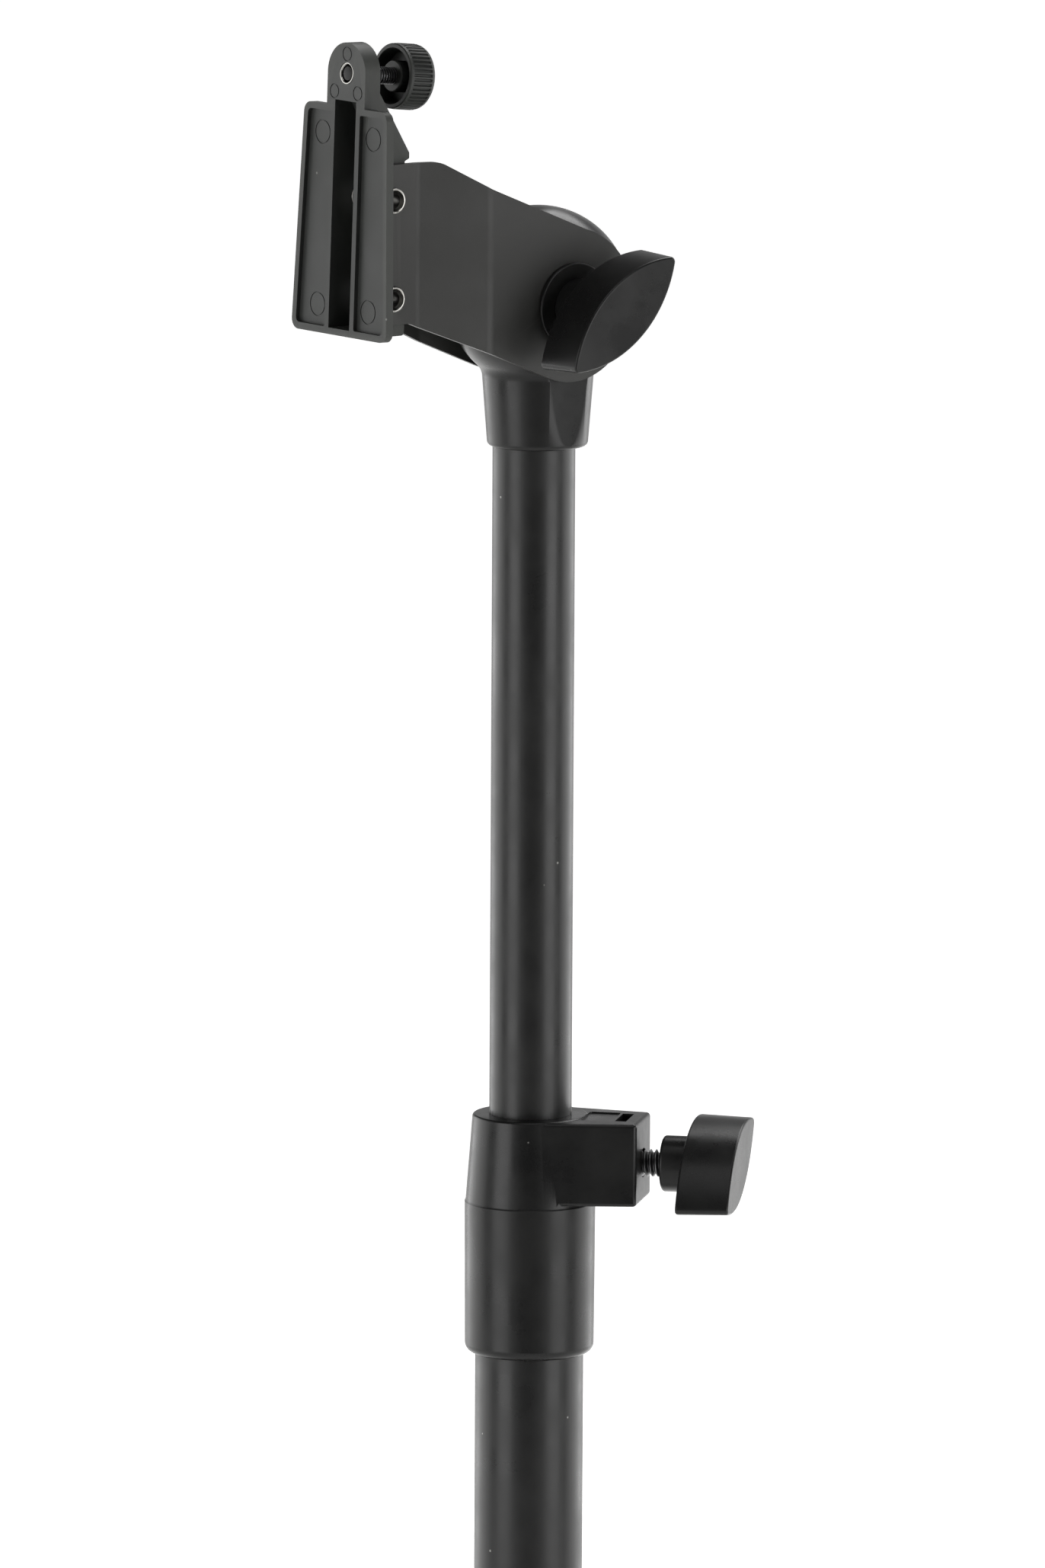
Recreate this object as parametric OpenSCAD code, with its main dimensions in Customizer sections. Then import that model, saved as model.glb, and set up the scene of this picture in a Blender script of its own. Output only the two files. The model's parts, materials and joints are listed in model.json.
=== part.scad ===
// Music stand without its desk: a folding tripod base, a telescopic post with a clamp
// collar, and a tilting head whose plate holds the desk.
// Millimetres. +Z is up and the origin is on the floor, on the post's axis.
// -Y is the side that the desk faces and +X is the side of the tilt knob.

/* [Post] */
// Outer diameter of the upper tube
upper_tube_d = 19; // [15:0.5:24]
// Wall of the upper tube
upper_tube_wall = 1.2; // [0.8:0.1:2]
// Length of the upper tube
upper_tube_len = 520; // [430:5:640]
// Wall of the bush between the two tubes
bush_wall = 1.7; // [1.2:0.1:3]
// Length of the bush
bush_len = 30; // [20:1:45]
// Wall of the lower tube
lower_tube_wall = 1.2; // [0.8:0.1:2]
// Height of the lower tube's top end above the floor
lower_tube_top = 640; // [520:5:800]
// Upper tube that shows between the collar and the head
exposed_tube = 155.2; // [60:0.1:300]

/* [Clamp collar] */
// Height of the collar above the lower tube's end
grip_h = 20.3; // [17:0.1:30]
// Height of the clamp block
clamp_block_h = 19.5; // [17:0.1:24]
// Height of the skirt below the clamp block
skirt_h = 36.2; // [20:0.1:60]
// Wall of the skirt
skirt_wall = 2.6; // [1.8:0.1:5]
// Wall of the collar at its top
collar_top_wall = 3.9; // [2.5:0.1:6]
// Width of the clamp block at its end
clamp_block_w = 18; // [15:0.5:24]
// Width of the clamp block at the post's axis
clamp_block_root = 26.4; // [24:0.1:26.4]
// Clamp block past the bore that guides the upper tube
clamp_block_reach = 17; // [14:0.5:26]
// Step from the collar's rim down to the clamp block
block_step = 0.2; // [0.1:0.1:1]
// Direction of the clamp screw, from +X towards +Y, in degrees
clamp_angle = 41; // [0:1:90]
// Thread that shows between the clamp block and its knob
clamp_gap = 4.7; // [1:0.1:8]
// Across flats of the square nut in the block
square_nut_w = 10; // [9:0.5:12]
// Thickness of the square nut
square_nut_t = 4.4; // [3:0.1:6]
// Block between the square nut and the block's end
nut_inset = 2.6; // [2:0.1:4]

/* [Wing knobs] */
// Diameter of the clamp and tilt screws
screw_d = 6.35; // [5:0.05:8]
// Thread pitch of the clamp and tilt screws
screw_pitch = 1.27; // [1:0.01:1.6]
// Length of the wing
wing_len = 39.5; // [28:0.5:50]
// Width of the wing across its middle
wing_w = 15; // [12:0.5:22]
// Depth of the wing
wing_t = 12.4; // [8:0.1:18]
// Diameter of the knob's hub
hub_d = 13; // [11:0.5:14.5]
// Length of the knob's hub
hub_len = 5.8; // [3:0.1:10]
// How far the screw goes into its knob
screw_in_knob = 12; // [8:0.5:14]

/* [Tilt head] */
// Radius of the head's ball
ball_r = 21; // [19:0.1:26]
// Width between the ball's flat sides
drum_w = 25; // [22:0.5:32]
// Ball and sleeve behind the post's axis
head_back = 1; // [0:0.1:1.5]
// Middle of the ball above the tilt axis
ball_rise = 0.6; // [0:0.1:2]
// Height of the tilt axis above the lower end of the head
pivot_h = 33.7; // [30:0.1:50]
// Depth of the socket for the upper tube
head_socket = 22.5; // [15:0.5:26]
// Wall of the head's sleeve at its lower end
sleeve_wall = 2.15; // [1.5:0.05:4]
// Extra wall where the sleeve meets the ball
sleeve_flare = 1.15; // [0:0.05:3]
// Friction washer's radius
friction_r = 9; // [7:0.5:14]
// Friction washer's thickness
friction_t = 1.1; // [0.6:0.1:2]

/* [Arms and desk plate] */
// Thickness of the sheet that the arms are bent from
arm_t = 1.5; // [1:0.1:2.5]
// Radius of the arm's round end
arm_end_r = 17.5; // [14:0.1:22]
// Slope of the arms' edges, in degrees
arm_slope = 22.3; // [10:0.1:35]
// Height of the arms where they meet the desk block
arm_front_h = 36.6; // [30:0.1:45]
// Lower edge of the arms at the desk block, below the tilt axis
arm_front_drop = 1.4; // [0:0.1:4]
// Back face of the desk block, in front of the tilt axis
block_back = 43.1; // [36:0.1:60]
// Width of the desk block
block_w = 14; // [12:0.5:20]
// Lower end of the desk block and plate, below the tilt axis
block_drop = 4; // [2:0.1:8]
// Lean of the desk plate, in degrees
plate_lean = 2; // [0:0.5:10]
// Height of the desk plate
plate_h = 52.2; // [46:0.1:70]
// Width of the desk plate at its top
plate_top_w = 30.6; // [26:0.1:45]
// Width of the desk plate at its bottom
plate_bottom_w = 35.4; // [30:0.1:50]
// Thickness of the desk plate
plate_t = 2; // [1.6:0.1:4]
// Corner radius of the desk plate
plate_corner_r = 2.2; // [1:0.1:4]
// Depth of the recessed panels
panel_depth = 0.9; // [0.4:0.1:1.2]
// Width of the rims round the panels
rim_w = 1.5; // [1:0.1:2.5]
// Width of the slot that takes the desk's tongue
slot_w = 7.8; // [6:0.1:9]
// Front of the plate to the back of the block, at the plate's foot
block_depth = 13.4; // [11:0.1:18]
// Wall behind the slot
slot_back_wall = 1.3; // [1:0.1:2.5]
// Radius of the tab above the plate
tab_r = 7.1; // [5.5:0.1:9]
// Thickness of the tab
tab_t = 4.3; // [3:0.1:6]
// Centre of the tab's screw above the top of the slot
tab_screw_rise = 6.3; // [5:0.1:12]
// Barrel diameter of the hollow rivets
rivet_d = 4.7; // [4:0.1:5.2]
// Bore of the hollow rivets
rivet_bore_d = 3.9; // [3:0.1:4.2]
// Distance between the upper and lower rivets
rivet_pitch = 22.5; // [15:0.1:30]

/* [Thumb screw] */
// Diameter of the thumb screw
thumb_screw_d = 4; // [3:0.1:5]
// Thread pitch of the thumb screw
thumb_pitch = 0.7; // [0.5:0.05:1]
// Radius of its knurled knob
thumb_knob_r = 7.55; // [6:0.05:10]
// Length of its knurled knob
thumb_knob_len = 7.4; // [6:0.1:12]
// Gap between the tab and the knob
thumb_gap = 8.6; // [6:0.1:14]
// Dip of the thumb screw towards its knob, from square to the plate, in degrees
thumb_dip = 4.5; // [0:0.5:8]

/* [Tripod] */
// Number of legs
leg_count = 3; // [3:1:3]
// Distance from the post's axis to the middle of each foot
foot_radius = 250; // [200:5:340]
// Height of the leg hinges above the floor
leg_pivot_h = 75; // [65:1:110]
// Distance from the post's axis to each leg hinge
leg_pivot_r = 34; // [31:0.5:42]
// Outer diameter of a leg
leg_d = 16; // [14:0.5:18]
// Wall of a leg
leg_wall = 1.2; // [0.8:0.1:2]
// Thickness of a hub ear on one side of a leg
ear_t = 5; // [4:0.5:7]
// Width of the leg's flat tang
tang_t = 9.6; // [8:0.1:12]
// Diameter of the leg bolts
leg_bolt_d = 6; // [5:0.5:8]
// Wall of the rubber feet
foot_wall = 2.4; // [1.5:0.1:4]
// Radius of a foot's pad
foot_pad_r = 12.5; // [11:0.5:16]
// Height of a foot's pad
foot_pad_h = 14; // [11:0.5:18]
// Diameter of the bolt under the hub
base_bolt_d = 8; // [6:0.5:10]
// Radius of the hub's middle
hub_r = 17.5; // [16:0.5:22]

/* [Clearances] */
// Between pieces that slide or turn on each other
running_gap = 0.05; // [0.02:0.01:0.09]
// Between faces that move past each other
face_gap = 0.2; // [0.1:0.05:0.4]
// Between pieces that are pressed or glued together
seat_gap = 0.02; // [0.01:0.01:0.05]

/* [Hidden] */
$fn = 96;

cut = 1;              // overshoot of a cut past the face it opens
satin_black = [0.13, 0.13, 0.13];
moulded_black = [0.10, 0.10, 0.10];
rubber_black = [0.06, 0.06, 0.06];
dark_steel = [0.16, 0.16, 0.17];
bright_steel = [0.72, 0.72, 0.74];

// Post
upper_r = upper_tube_d / 2;
guide_r = upper_r + running_gap;
lower_bore_r = guide_r + bush_wall + running_gap;
lower_r = lower_bore_r + lower_tube_wall;
collar_top = lower_tube_top + grip_h;
clamp_block_bottom = collar_top - clamp_block_h;
collar_bottom = clamp_block_bottom - skirt_h;
head_bottom = collar_top + exposed_tube;
pivot_z = head_bottom + pivot_h;
upper_tube_top = head_bottom + head_socket;
upper_tube_bottom = upper_tube_top - upper_tube_len;
plug_flange_t = 2.5;
end_plug_len = 15;
ring_t = 1;
ring_groove = 0.4;
bush_bottom = upper_tube_bottom + face_gap;
bush_top = bush_bottom + bush_len;

// Screws
screw_r = screw_d / 2;
thread_depth = 0.6 * screw_pitch;
screw_pass_r = screw_r + 2 * running_gap;
screw_below = 0.75;   // clamp screw's axis below the middle of its block
clamp_screw_z = collar_top - clamp_block_h / 2 - screw_below;
clamp_block_end = guide_r + clamp_block_reach;
clamp_hub_p = clamp_block_end + clamp_gap;
tip_relief = 0.4;     // how much thinner a screw's tip is than its thread
shoe_r = screw_r - tip_relief;
shoe_t = 3;
shoe_end = upper_r + face_gap;
stem_r = 0.45 * screw_r;
stem_len = 3;
nut_p = clamp_block_end - nut_inset - square_nut_t;

// Tilt head
sleeve_r = upper_r + sleeve_wall;
flare_r = sleeve_r + sleeve_flare;
neck_top = pivot_h - 18.3;
arm_in = drum_w / 2 + face_gap;
arm_out = arm_in + arm_t;
neck_half = drum_w / 2 - 0.9;
neck_fillet = 4;      // rounding between the neck and the ball
sleeve_lip = 1.2;
washer_t = 1.1;
washer_r = 10;
stack_gap = face_gap / 2;
tilt_washer_x = arm_out + stack_gap;
tilt_hub_x = tilt_washer_x + washer_t + stack_gap;
tilt_nut_t = 5;
tilt_nut_af = 11;
nut_flange_t = 1;
nut_flange_d = tilt_nut_af + 3;

// Arms: widths at the block and at the drum, joined by an oblique stretch
block_half = block_w / 2;
bend_front = block_back - 2.6;
bend_back = bend_front - 16.7;
arm_overlap = 7.9;    // arms past the back face of the desk block
arm_shoulder = 5.1;   // level top of the arms past their front bend
arm_knee = 0.5;       // where their top edge turns, past their back bend
arm_blend = 0.05;     // how far inside the round end their edges meet it

// Desk plate, in its own frame: +Z up the plate, +Y to its back, front face at y = 0
plate_front_y = -(block_back + block_depth);
slot_bottom = rim_w;
slot_top = plate_h + 1.3;
tab_z = slot_top + tab_screw_rise;
rivet_y = -(block_back + 4.2);
rivet_low = 4.5;
rivet_flange_t = 0.5;
rivet_flange = 0.6;
rivet_roll = 0.35;
block_front = plate_front_y + 0.75 * plate_t;
block_lift = 0.5;     // keeps the block's foot off the plate's own
gusset_lip = 1.3;
gusset_slope = 0.6;
gusset_foot = arm_front_h - arm_front_drop + 1;
gusset_rise = slot_top - block_drop - gusset_foot + 4;
gusset_step = 0.6;    // height of the step from the block's back to the gusset's lip
tab_root = 6;         // how far the tab reaches down behind the plate's top

// Thumb screw
thumb_r = thumb_screw_d / 2;
insert_wall = 0.4;
tip_t = 1.2;
tip_stem_r = 0.45 * thumb_r;
tip_stem_len = 2;
thumb_knob_y = tab_t + thumb_gap;
cup_depth = 3;
cup_hub_wall = 1.4;
cup_wall = 1.5;
knob_round = 1;
knob_cap = 2;         // solid end of the knob behind its screw

// Tripod
leg_r = leg_d / 2;
foot_axis_z = 11;
leg_slope = atan((leg_pivot_h - foot_axis_z) / (foot_radius - leg_pivot_r));
leg_reach = (foot_radius - leg_pivot_r) / cos(leg_slope);
ear_r = leg_r + 3;
tang_shoulder = 22;
spigot_len = 30;
leg_tube_len = leg_reach - tang_shoulder + 4;
hub_slot_w = tang_t + 2 * face_gap;
hub_bottom = leg_pivot_h - leg_r - 7;
hub_floor_t = 6;
hub_top = leg_pivot_h + 27;
tube_plug_len = 24;
hub_shoulder = 3;
base_bolt_r = base_bolt_d / 2;
base_washer_t = 1.6;
base_washer_r = base_bolt_r + 6;
bolt_head_r = 7.5;
bolt_head_t = 5;
rivet_r = 2;
rivet_s = tang_shoulder + seat_gap + spigot_len / 2;
leg_head_t = 4;
leg_nut_t = 4.5;
roof_t = 4;
fold_depth = 60;      // how deep the hub is open under a leg, past its hinge
foot_socket_len = 32;
leg_side = hub_slot_w / 2 + ear_t;

// A ring-grooved rod along +Z that stands for a threaded one
module threaded_rod(r, pitch, len) {
    turns = floor(len / pitch);
    depth = 0.6 * pitch;
    rotate_extrude() polygon(concat(
        [[0, 0], [r - depth, 0]],
        [for (i = [0 : turns - 1], s = [0, 1])
            [s == 0 ? r : r - depth, pitch * (i + 0.5 + 0.5 * s)]],
        [[r - depth, len], [0, len]]
    ));
}

// A tube along +Z
module pipe(r, wall, len) {
    difference() {
        cylinder(r = r, h = len);
        translate([0, 0, -cut]) cylinder(r = r - wall, h = len + 2 * cut);
    }
}

// A washer along +Z
module ring(r, bore_r, t) {
    difference() {
        cylinder(r = r, h = t);
        translate([0, 0, -cut]) cylinder(r = bore_r, h = t + 2 * cut);
    }
}

// Points of an arc about c, from angle a0 to a1
function arc(c, r, a0, a1, steps = 5) =
    [for (i = [0 : steps]) c + r * [cos(a0 + (a1 - a0) * i / steps), sin(a0 + (a1 - a0) * i / steps)]];

// Places along the clamp screw: +Z runs outwards along it
module at_clamp() {
    translate([0, 0, clamp_screw_z]) rotate([0, 0, clamp_angle]) rotate([0, 90, 0]) children();
}

// Places along the tilt axis: +Z runs towards the tilt knob
module at_pivot() {
    translate([0, 0, pivot_z]) rotate([90, 0, 90]) children();
}

// Places in the desk plate's frame
module at_plate() {
    translate([0, plate_front_y, pivot_z - block_drop]) rotate([-plate_lean, 0, 0]) children();
}

// Places along the thumb screw: +Z runs from the tab's front face to its back
module at_thumb() {
    at_plate() translate([0, 0, tab_z]) rotate([-90 - thumb_dip, 0, 0]) children();
}

// Places along a leg: origin at its hinge, +X along the leg, +Z upwards
module at_leg(i) {
    rotate([0, 0, -90 + 120 * i]) translate([leg_pivot_r, 0, leg_pivot_h])
        rotate([0, leg_slope, 0]) children();
}

// ---- Base ----

// Central socket with three pairs of ears
module base_hub() color(satin_black) {
    difference() {
        union() {
            translate([0, 0, hub_bottom]) cylinder(r = hub_r, h = hub_top - hub_bottom - hub_shoulder);
            translate([0, 0, hub_top - hub_shoulder])
                cylinder(r1 = hub_r, r2 = lower_r + 2.2, h = hub_shoulder);
            for (i = [0 : leg_count - 1]) hub_arm(i);
        }
        translate([0, 0, hub_bottom + hub_floor_t]) cylinder(r = lower_r + seat_gap, h = hub_top);
        translate([0, 0, hub_bottom - cut]) cylinder(r = base_bolt_r + 0.3, h = hub_floor_t + 2 * cut);
        for (i = [0 : leg_count - 1]) hub_arm_cuts(i);
    }
}

// One arm of the hub: ears round the hinge and a roof that stops the open leg
module hub_arm(i) {
    rotate([0, 0, -90 + 120 * i]) translate([0, leg_side, 0]) rotate([90, 0, 0])
        linear_extrude(2 * leg_side) union() {
            translate([leg_pivot_r, leg_pivot_h]) circle(r = ear_r);
            polygon([
                [lower_r + 2, hub_bottom], [leg_pivot_r, hub_bottom],
                [leg_pivot_r, leg_pivot_h], [leg_pivot_r + 4, leg_pivot_h + ear_r + 2],
                [lower_r + 2, leg_pivot_h + ear_r + 9]
            ]);
            translate([leg_pivot_r, leg_pivot_h]) rotate(-leg_slope)
                translate([-roof_t, leg_r + face_gap]) square([ear_r + 2 * roof_t, roof_t]);
        }
}

// The slot that the leg folds in, and the hole for its bolt
module hub_arm_cuts(i) {
    slot_r = leg_r + 2 * face_gap;
    at_leg(i) {
        translate([0, hub_slot_w / 2, 0]) rotate([90, 0, 0]) linear_extrude(hub_slot_w) union() {
            circle(r = slot_r);
            translate([0, -fold_depth]) square([fold_depth, fold_depth + leg_r + face_gap]);
            rotate(leg_slope - 90) translate([0, -slot_r]) square([fold_depth, 2 * slot_r]);
        }
        rotate([90, 0, 0]) cylinder(r = leg_bolt_d / 2 + seat_gap, h = 4 * leg_side, center = true);
    }
}

module base_bolt() color(dark_steel) {
    head_top = hub_bottom - base_washer_t - seat_gap;
    translate([0, 0, head_top - bolt_head_t]) cylinder(r = bolt_head_r, h = bolt_head_t, $fn = 6);
    translate([0, 0, head_top - cut / 2])
        cylinder(r = base_bolt_r, h = hub_floor_t + base_washer_t + 0.75 * tube_plug_len);
}

module base_washer() color(bright_steel)
    translate([0, 0, hub_bottom - base_washer_t])
        ring(base_washer_r, base_bolt_r + face_gap, base_washer_t - seat_gap);

module lower_tube_plug() color(dark_steel) {
    translate([0, 0, hub_bottom + hub_floor_t + seat_gap])
        ring(lower_bore_r - seat_gap, base_bolt_r + seat_gap, tube_plug_len);
}

module lower_tube() color(satin_black) {
    bottom = hub_bottom + hub_floor_t + seat_gap;
    translate([0, 0, bottom]) pipe(lower_r, lower_tube_wall, lower_tube_top - bottom);
}

// ---- Legs ----

module leg_tube(i) color(satin_black)
    at_leg(i) translate([tang_shoulder + seat_gap, 0, 0]) rotate([0, 90, 0])
        difference() {
            pipe(leg_r, leg_wall, leg_tube_len);
            translate([0, 0, spigot_len / 2]) rotate([90, 0, 0])
                cylinder(r = rivet_r + seat_gap, h = 2 * leg_d, center = true);
        }

// Flat tang that hinges in the hub, with a spigot that fills the end of the tube
module leg_tang(i) color(dark_steel)
    at_leg(i) difference() {
        union() {
            translate([0, tang_t / 2, 0]) rotate([90, 0, 0]) linear_extrude(tang_t) union() {
                circle(r = leg_r);
                translate([0, -leg_r]) square([tang_shoulder, leg_d]);
            }
            translate([tang_shoulder, 0, 0]) rotate([0, 90, 0])
                cylinder(r = leg_r - leg_wall - seat_gap, h = spigot_len);
        }
        rotate([90, 0, 0]) cylinder(r = leg_bolt_d / 2 + running_gap, h = 2 * tang_t, center = true);
        translate([rivet_s, 0, 0]) rotate([90, 0, 0])
            cylinder(r = rivet_r + seat_gap, h = 2 * leg_d, center = true);
    }

module leg_rivet(i) color(dark_steel) {
    head_t = 0.8;
    at_leg(i) translate([rivet_s, 0, 0]) {
        rotate([90, 0, 0]) cylinder(r = rivet_r, h = leg_d + head_t / 2, center = true);
        for (s = [-1, 1]) translate([0, s * (leg_r + head_t / 2), 0]) rotate([90, 0, 0])
            cylinder(r = 1.6 * rivet_r, h = head_t, center = true);
    }
}

// Rubber boot with a flat-bottomed pad
module leg_foot(i) color(rubber_black)
    difference() {
        intersection() {
            union() {
                at_leg(i) translate([leg_reach - foot_socket_len + 10, 0, 0]) rotate([0, 90, 0])
                    cylinder(r = leg_r + foot_wall, h = foot_socket_len);
                rotate([0, 0, -90 + 120 * i]) translate([foot_radius, 0, 0])
                    cylinder(r = foot_pad_r, h = foot_pad_h);
            }
            translate([0, 0, leg_pivot_h])
                cube([4 * foot_radius, 4 * foot_radius, 2 * leg_pivot_h], center = true);
        }
        at_leg(i) translate([tang_shoulder, 0, 0]) rotate([0, 90, 0])
            cylinder(r = leg_r + seat_gap, h = leg_tube_len + 2 * seat_gap);
    }

module leg_bolts() color(bright_steel)
    for (i = [0 : leg_count - 1]) at_leg(i) {
        rotate([90, 0, 0]) cylinder(r = leg_bolt_d / 2, h = 2 * (leg_side + leg_head_t), center = true);
        translate([0, -leg_side - leg_head_t / 2 - seat_gap, 0]) rotate([90, 0, 0])
            cylinder(r = 0.85 * leg_bolt_d, h = leg_head_t, center = true);
    }

module leg_nuts() color(bright_steel)
    for (i = [0 : leg_count - 1]) at_leg(i) translate([0, leg_side + leg_nut_t + seat_gap, 0])
        rotate([90, 0, 0]) rotate(30) difference() {
            cylinder(r = 0.9 * leg_bolt_d, h = leg_nut_t, $fn = 6);
            translate([0, 0, -cut]) cylinder(r = leg_bolt_d / 2 + seat_gap, h = leg_nut_t + 2 * cut);
        }

// ---- Collar ----

// Skirt over the lower tube, guide for the upper tube and the clamp block
module clamp_collar() color(moulded_black) {
    skirt_r = lower_r + skirt_wall;
    top_r = upper_r + collar_top_wall;
    edge = 2.2;
    pocket_w = square_nut_w + face_gap;
    difference() {
        union() {
            rotate_extrude() polygon(concat(
                [[0, collar_bottom]],
                arc([skirt_r - edge, collar_bottom + edge], edge, -90, 0),
                [[skirt_r, clamp_block_bottom - 0.6], [skirt_r - 0.3, clamp_block_bottom - 0.4],
                 [top_r, collar_top], [0, collar_top]]
            ));
            translate([0, 0, clamp_block_bottom]) rotate([0, 0, clamp_angle])
                linear_extrude(clamp_block_h - block_step) polygon([
                    [0, -clamp_block_root / 2], [clamp_block_end, -clamp_block_w / 2],
                    [clamp_block_end, clamp_block_w / 2], [0, clamp_block_root / 2]
                ]);
        }
        translate([0, 0, collar_bottom - cut])
            cylinder(r = lower_r + seat_gap, h = lower_tube_top + seat_gap - collar_bottom + cut);
        translate([0, 0, collar_bottom]) cylinder(r = guide_r, h = collar_top);
        at_clamp() cylinder(r = screw_pass_r, h = clamp_block_end + cut);
        rotate([0, 0, clamp_angle])
            translate([nut_p - face_gap / 2, -pocket_w / 2, clamp_screw_z - pocket_w / 2])
                cube([square_nut_t + face_gap, pocket_w, 2 * clamp_block_h]);
    }
}

module clamp_nut() color(bright_steel)
    at_clamp() translate([0, 0, nut_p]) difference() {
        translate([-square_nut_w / 2, -square_nut_w / 2, 0])
            cube([square_nut_w, square_nut_w, square_nut_t]);
        translate([0, 0, -cut]) cylinder(r = screw_r + running_gap, h = square_nut_t + 2 * cut);
    }

// Soft shoe on the screw's tip: it presses on the upper tube and doesn't turn
module clamp_shoe() color(rubber_black)
    at_clamp() {
        translate([0, 0, shoe_end]) cylinder(r = shoe_r, h = shoe_t);
        translate([0, 0, shoe_end + shoe_t - 0.1]) cylinder(r = stem_r, h = stem_len);
    }

module clamp_screw() color(dark_steel) {
    start = shoe_end + shoe_t + stack_gap;
    at_clamp() translate([0, 0, start]) difference() {
        threaded_rod(screw_r, screw_pitch, clamp_hub_p + screw_in_knob - start);
        translate([0, 0, -cut]) cylinder(r = stem_r + running_gap, h = stem_len + face_gap + cut);
    }
}

// Wing knob along +Z: a round hub, and a wing whose outline is two arcs
module wing_knob(turn) {
    half = wing_len / 2;
    side_r = (half * half + wing_w * wing_w / 4) / wing_w;
    difference() {
        union() {
            cylinder(d = hub_d, h = hub_len + 1);
            translate([0, 0, hub_len]) rotate([0, 0, turn]) intersection() {
                linear_extrude(wing_t) intersection() {
                    translate([0, side_r - wing_w / 2]) circle(r = side_r);
                    translate([0, wing_w / 2 - side_r]) circle(r = side_r);
                }
                cylinder(r = half - 0.6, h = wing_t);
            }
        }
        translate([0, 0, -cut]) cylinder(r = screw_r + seat_gap, h = screw_in_knob + face_gap + cut);
    }
}

module clamp_knob() color(moulded_black)
    at_clamp() translate([0, 0, clamp_hub_p]) wing_knob(-64.4);

// ---- Upper post ----

module guide_bush() color(moulded_black)
    translate([0, 0, bush_bottom])
        ring(lower_bore_r - running_gap, guide_r, bush_len - 2 * face_gap);

// Snap ring in a groove of the upper tube: it keeps the bush on the tube's end
module bush_ring() color(bright_steel)
    translate([0, 0, bush_top]) ring(lower_bore_r - 2 * face_gap, upper_r - ring_groove + seat_gap, ring_t);

module upper_tube() color(satin_black)
    difference() {
        translate([0, 0, upper_tube_bottom]) pipe(upper_r, upper_tube_wall, upper_tube_len);
        translate([0, 0, bush_top - seat_gap])
            ring(upper_r + cut, upper_r - ring_groove, ring_t + 2 * seat_gap);
    }

module tube_end_plug() color(moulded_black) {
    translate([0, 0, upper_tube_bottom - plug_flange_t])
        cylinder(r = lower_bore_r - 2 * face_gap, h = plug_flange_t - seat_gap);
    translate([0, 0, upper_tube_bottom - cut])
        cylinder(r = upper_r - upper_tube_wall - seat_gap, h = end_plug_len + cut);
}

// Ball with flat sides, neck and sleeve, moulded in one
module tilt_head() color(moulded_black) {
    washer_seat = friction_t - stack_gap;
    difference() {
        union() {
            intersection() {
                translate([0, head_back, head_bottom]) rotate_extrude() polygon(concat(
                    [[0, 0]],
                    arc([sleeve_r - sleeve_lip, sleeve_lip], sleeve_lip, -90, 0),
                    arc([flare_r + neck_fillet, neck_top], neck_fillet, 180, 135),
                    [[flare_r, pivot_h], [0, pivot_h]]
                ));
                translate([-neck_half, -2 * ball_r, head_bottom - cut])
                    cube([2 * neck_half, 4 * ball_r, 2 * pivot_h]);
            }
            translate([0, head_back, pivot_z + ball_rise]) intersection() {
                sphere(r = ball_r);
                cube([drum_w, 3 * ball_r, 3 * ball_r], center = true);
            }
        }
        translate([0, 0, head_bottom - cut])
            cylinder(r = upper_r + seat_gap, h = head_socket + seat_gap + cut);
        at_pivot() cylinder(r = screw_r + running_gap, h = 2 * drum_w, center = true);
        for (s = [0, 1]) at_pivot() mirror([0, 0, s])
            translate([0, 0, drum_w / 2 - washer_seat]) cylinder(r = friction_r + seat_gap, h = drum_w);
    }
}

// Two washers let into the ball's flat sides
module friction_washers() color(rubber_black)
    for (s = [0, 1]) at_pivot() mirror([0, 0, s])
        translate([0, 0, drum_w / 2 - friction_t + stack_gap + seat_gap])
            ring(friction_r, screw_r + 0.3, friction_t - 2 * seat_gap);

// ---- Arms and plate ----

// Side view of an arm as a thick solid, y to the back and z up from the tilt axis
module arm_side() {
    n = [sin(arm_slope), cos(arm_slope)];
    top = arm_front_h - arm_front_drop;
    bottom = -arm_front_drop;
    front = -(block_back + arm_overlap);
    bottom_bend = (-arm_end_r - bottom * n.y) / n.x;
    blend_r = arm_end_r - arm_blend;
    cylinder(r = arm_end_r, h = 3 * drum_w, center = true);
    linear_extrude(4 * drum_w, center = true) polygon([
        [front, bottom], [front, top], [arm_shoulder - bend_front, top],
        [arm_knee - bend_back, (arm_end_r + (bend_back - arm_knee) * n.x) / n.y],
        blend_r * n, -blend_r * n,
        [bottom_bend, bottom]
    ]);
}

// Bent sheet arm on the +X side
module arm_shape() {
    difference() {
        intersection() {
            at_pivot() arm_side();
            translate([0, 0, pivot_z - 3 * arm_end_r]) linear_extrude(6 * arm_end_r) polygon([
                [block_half, -2 * block_back], [block_half + arm_t, -2 * block_back],
                [block_half + arm_t, -bend_front], [arm_out, -bend_back], [arm_out, 2 * arm_end_r],
                [arm_in, 2 * arm_end_r], [arm_in, -bend_back], [block_half, -bend_front]
            ]);
        }
        at_pivot() cylinder(r = screw_r + running_gap, h = 4 * drum_w, center = true);
        rivet_places() cylinder(r = rivet_d / 2 + seat_gap, h = 2 * block_w);
    }
}

// The four rivets' axes, +Z outwards
module rivet_places(sides = [0, 1])
    for (s = sides, k = [0, 1]) mirror([s, 0, 0])
        translate([0, rivet_y, pivot_z + rivet_low + k * rivet_pitch]) rotate([0, 90, 0]) children();

module arm_right() color(satin_black) arm_shape();

module arm_left() color(satin_black) mirror([1, 0, 0]) arm_shape();

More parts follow.
